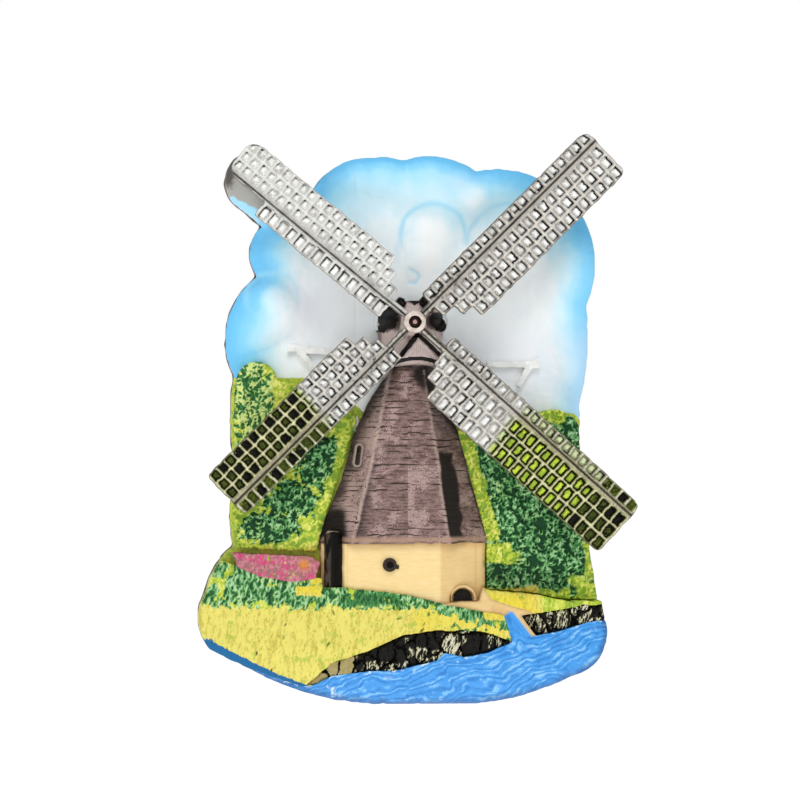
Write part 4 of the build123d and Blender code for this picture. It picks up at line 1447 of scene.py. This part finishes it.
def makeSail(node, look):
    turn = math.radians(look["angle"])
    sheet = Sheet([node], 0.11, sway=0.11, swaySize=0.9, centre=hub, angle=turn, seed=301, margin=0.4)
    sheet.owner = np.where(trimCorners(sheet, sheet.owner >= 0, look["round"]), sheet.owner, -1)
    sheet.straighten(3)
    u, v = sheet.u, sheet.v

    def uneven(size, seed):
        return lumps(u, v, size, seed)

    own = sheet.owner >= 0
    everywhere = np.ones(own.shape, bool)
    pits = own & (sheet.depth < pitDepth)
    number = pitNumbers(pits)
    pitField = sheet.corners(pits, everywhere)
    cellNumber = sheet.corners(number * pits, everywhere) / np.maximum(pitField, 0.01)
    pitInside = sheet.inside(pits, 0.8) + 0.05 * uneven(0.5, 331)
    barInside = sheet.inside(own & ~pits, 0.5)
    # painted shade: darker along one side of each pit and round its inner edge
    lengthwise, crosswise = pitSides(sheet, pits, look["along"], look["across"])
    darkSide = unit(np.maximum(lengthwise, 0.8 * crosswise))
    farSide = unit(np.prod(pitSides(sheet, pits, 1, -1), axis=0))
    rim = unit(sheet.inside(own, 0.6) / 0.3)
    domed = smooth(0.12, 0.5, pitInside) * pitField
    ring = smooth(0.4, 0.12, pitInside) * pitField
    contrast = np.interp(u, *zip(*look["contrast"])) * (0.95 + 0.55 * uneven(1.3, 333))
    top = sheet.corners(sheet.soft(own, 0.11), own)
    top = top - 0.3 * rounding(rim) + 0.07 * uneven(0.7, 303) + 0.04 * uneven(0.3, 305)
    green = smooth(look["green"] - 0.8, look["green"] + 0.8, u + 0.7 * uneven(1.2, 307))
    green = green * (1 - 0.5 * (v > 0.6))
    deep = smooth(look["deep"] - 0.8, look["deep"] + 0.8, u + 0.7 * uneven(1.2, 308))
    rise = (0.42 + 0.4 * cellNumber) * (1 - 0.7 * deep)
    top = top + rise * domed - 0.15 * darkSide * ring
    spar = smooth(0.75, 0.4, np.abs(v))
    onSpar = spar * (sheet.corners(sheet.depth, own) > sparDepth)
    top = top - 0.25 * hump(v - 0.1, 0.12) * onSpar + 0.05 * lumps(u * 0.3, v * 3, 1.0, 309) * onSpar
    dull = smooth(0.35, 0.75, cellNumber + 0.25 * uneven(0.6, 311))
    white = np.interp(u, *zip(*look["white"])) + 0.5 * (cellNumber - 0.5)
    # painted shade in the pits: along their dark sides where lines is high, in their corners where it is
    # low
    darkCorner = unit(2.0 * lengthwise * crosswise)
    lines = np.maximum(look["lines"], 0.9 * (v > 0.7) * (look["cool"] > 0.5))
    lineStrength = lines * (0.03 + 1.05 * darkSide) + (1 - lines) * darkCorner
    besideSpar = hump(np.abs(v) - 0.6, 0.13) * smooth(-0.1, 0.4, uneven(1.2, 315))
    filled = pitField * deep * (1 - 0.95 * farSide * (cellNumber > 0.3))
    # black: painted shade in the pits, the landscape's dark paint filling them, and dark beside the spar
    black = strongest(contrast * ring * lineStrength * (0.8 + 0.35 * dull), green * ring * 1.1,
                      filled * (0.6 + 0.5 * dull), 0.65 * contrast * besideSpar * (u > 3.5) * (v > 0),
                      0.35 * contrast * besideSpar * (u > 3.5) * (v < 0))
    middleLine = (hump(v - 0.1, 0.17) + 0.35) * onSpar
    grime = 0.55 * look["lines"] * smooth(0.2, 0.6, uneven(0.35, 321)) * smooth(26, 8, u)
    edgeLine = smooth(0.2, 0.05, sheet.inside(own, 0.5)) * 0.3
    # groove: the spar's middle line, the sail's edge, painted shade round the pits, and grime
    groove = 0.75 * middleLine + edgeLine + 0.22 * lines * contrast * ring + 0.12 * ring + grime
    groove = groove + 0.35 * unit(uneven(0.9, 317))
    crown = smooth(0.03, 0.24, barInside) * (1 - 0.5 * middleLine)
    marks = {"white": unit(white), "black": unit(black), "groove": unit(groove),
             "lime": unit(np.maximum(green, deep)), "green": unit(green),
             "crown": crown, "pit": pitField, "cool": np.full(u.shape, look["cool"]) * (1 - green)}
    back = sailBack + 0.02 + 0.06 * (0.5 + 0.5 * uneven(1.5, 319)) + 0.15 * (1 - rim) ** 2
    top = np.minimum(top, sailFrontMost)
    mesh = reliefMesh(node, sheet, own, top, back, marks, rings=3, fineBack=True)
    addPiece(node + "_cast", mesh, "sail_cross", silverPaint, [node])


for node, look in lookAlong.items():
    makeSail(node, look)


print("back: poured resin, magnet and glue")
backShape = {"step": 0.34, "round": 0.5, "wave": 0.1, "pocketGap": 0.15}
backNodes = [n for n in reliefNodes if n not in millNodes]
back = Sheet(backNodes, backShape["step"], seed=5, sway=0.12, swaySize=1.5)
own = back.owner >= 0
magnetLow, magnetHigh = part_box("magnet")
gap = backShape["pocketGap"]
pocket = np.abs(back.cu - middle("magnet").x) < halfWidth("magnet") + gap
pocket &= np.abs(back.cv - middle("magnet").z) < (magnetHigh.z - magnetLow.z) / 2 / mm + gap
own = own & ~pocket
plateBack = depths("backdrop")[0]
rim = unit(back.inside(own, 1.5) / 1.0)
wave = 0.5 + 0.5 * lumps(back.u, back.v, 6.0, 401)
scratch = unit(lumps(back.u * 0.3 + back.v, back.v - back.u * 0.3, 0.9, 403))
foot = plateBack + backShape["wave"] * wave + 0.06 * scratch
foot = foot + backShape["round"] * rounding(rim)
resin = plainFinish("bareResin", bareResin["colour"], bareResin["light"], 0.45, 0.5, coat=0.15, bump=0.3)
mesh = reliefMesh("back", back, own, np.full(foot.shape, parting + 0.02), foot, {}, rings=4, fineBack=True)
addPiece("backdrop_back", mesh, "plaque", resin, ["backdrop"])


def roughBlock(name, node, bevel, roughness, cuts):
    # a block the size of the CAD piece, with rounded edges and a surface a little worn down
    low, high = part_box(node)
    work = bmesh.new()
    bmesh.ops.create_cube(work, size=1.0)
    size = high - low
    centre = (high + low) / 2
    for v in work.verts:
        v.co = Vector((v.co.x * size.x, v.co.y * size.y, v.co.z * size.z)) + centre
    bmesh.ops.bevel(work, geom=work.edges[:], offset=bevel * mm, segments=3, affect="EDGES", profile=0.5)
    bmesh.ops.subdivide_edges(work, edges=work.edges[:], cuts=cuts, use_grid_fill=True)
    for v in work.verts:
        push = noise.noise(v.co / mm * 0.9) * roughness * mm
        away = (v.co - centre).normalized()
        v.co -= away * abs(push)
    bmesh.ops.recalc_face_normals(work, faces=work.faces)
    mesh = bpy.data.meshes.new(name)
    work.to_mesh(mesh)
    work.free()
    return mesh


magnetLook = {"first": "#1f1f21", "second": "#3a3a3d", "roughness": 0.42, "scale": 0.8, "metallic": 0.3,
              "bump": 0.35}
ferrite = plainFinish("ferrite", **magnetLook)
magnet = roughBlock("magnet", "magnet", 0.35, 0.12, 5)
addPiece("magnet_pressed", magnet, "plaque", ferrite, ["magnet"])
glueLook = {"first": "#c9b98a", "second": "#e2d6ad", "roughness": 0.2, "scale": 0.6, "coat": 0.4}
glue = plainFinish("epoxyGlue", **glueLook)
glueBead = roughBlock("glue", "magnet_glue_pad", 0.05, 0.04, 4)
addPiece("magnet_glue_bead", glueBead, "plaque", glue, ["magnet_glue_pad"])


print("stage")
# fill and seen: colour and strength of the room's light, and of what the camera sees of it;
# key and kick: the lamps' place and size in metres, and their power
studio = {"fill": ((0.98, 0.99, 1, 1), 0.54), "seen": ((1, 1, 1, 1), 1.0), "floorGlow": 0.52,
          "key": ((0.02, -0.5, 0.62), 0.34, 1.8), "kick": ((-0.45, -0.6, 0.1), 0.6, 0.8)}
floorMesh = bpy.data.meshes.new("floor")
span = 6.0
floorZ = cadLow.z - 0.045  # clear of the sails as they turn
corners = [(-span, -span, floorZ), (span, -span, floorZ), (span, span, floorZ), (-span, span, floorZ)]
floorMesh.from_pydata(corners, [], [(0, 1, 2, 3)])
floor = bpy.data.objects.new("floor", floorMesh)
bpy.context.scene.collection.objects.link(floor)
floorLook = {"first": "#f7f7f6", "second": "#fbfbfa", "roughness": 0.6, "scale": 0.02, "bump": 0.02}
floorPaper = plainFinish("floorPaper", **floorLook)
floorGlow = floorPaper.node_tree.nodes["Principled BSDF"]
floorGlow.inputs["Emission Color"].default_value = (1, 1, 1, 1)
floorGlow.inputs["Emission Strength"].default_value = studio["floorGlow"]
floorMesh.materials.append(floorPaper)

world = bpy.data.worlds.new("studio")
bpy.context.scene.world = world
world.use_nodes = True
tree = world.node_tree
tree.nodes.clear()
path = tree.nodes.new("ShaderNodeLightPath")
choose = tree.nodes.new("ShaderNodeMixShader")
output = tree.nodes.new("ShaderNodeOutputWorld")
tree.links.new(path.outputs["Is Camera Ray"], choose.inputs[0])
for socket, (colour, strength) in ((1, studio["fill"]), (2, studio["seen"])):
    room = tree.nodes.new("ShaderNodeBackground")
    room.inputs["Color"].default_value = colour
    room.inputs["Strength"].default_value = strength
    tree.links.new(room.outputs[0], choose.inputs[socket])
tree.links.new(choose.outputs[0], output.inputs["Surface"])


def softLight(name, place, target, size, power):
    lamp = bpy.data.lights.new(name, "AREA")
    lamp.shape = "DISK"
    lamp.size = size
    lamp.energy = power
    made = bpy.data.objects.new(name, lamp)
    made.location = place
    made.rotation_euler = (Vector(target) - Vector(place)).to_track_quat("-Z", "Y").to_euler()
    bpy.context.scene.collection.objects.link(made)


focus = Vector((-0.88 * mm, -8 * mm, 5.8 * mm))  # what lights and camera point at
for name in ("key", "kick"):
    place, size, power = studio[name]
    softLight(name, place, focus, size, power)

view = {"azimuth": -5.0, "distance": 0.580, "lens": 180.0}
camera = bpy.data.cameras.new("camera")
camera.lens = view["lens"]
camera.sensor_width = 36.0
camera.clip_start = 0.01
camera.dof.use_dof = False
eye = bpy.data.objects.new("camera", camera)
swing = math.radians(view["azimuth"])
eye.location = focus + Vector((math.sin(swing), -math.cos(swing), 0)) * view["distance"]
eye.rotation_euler = (focus - eye.location).to_track_quat("-Z", "Y").to_euler()
bpy.context.scene.collection.objects.link(eye)
bpy.context.scene.camera = eye
bpy.context.scene.view_settings.view_transform = "Standard"
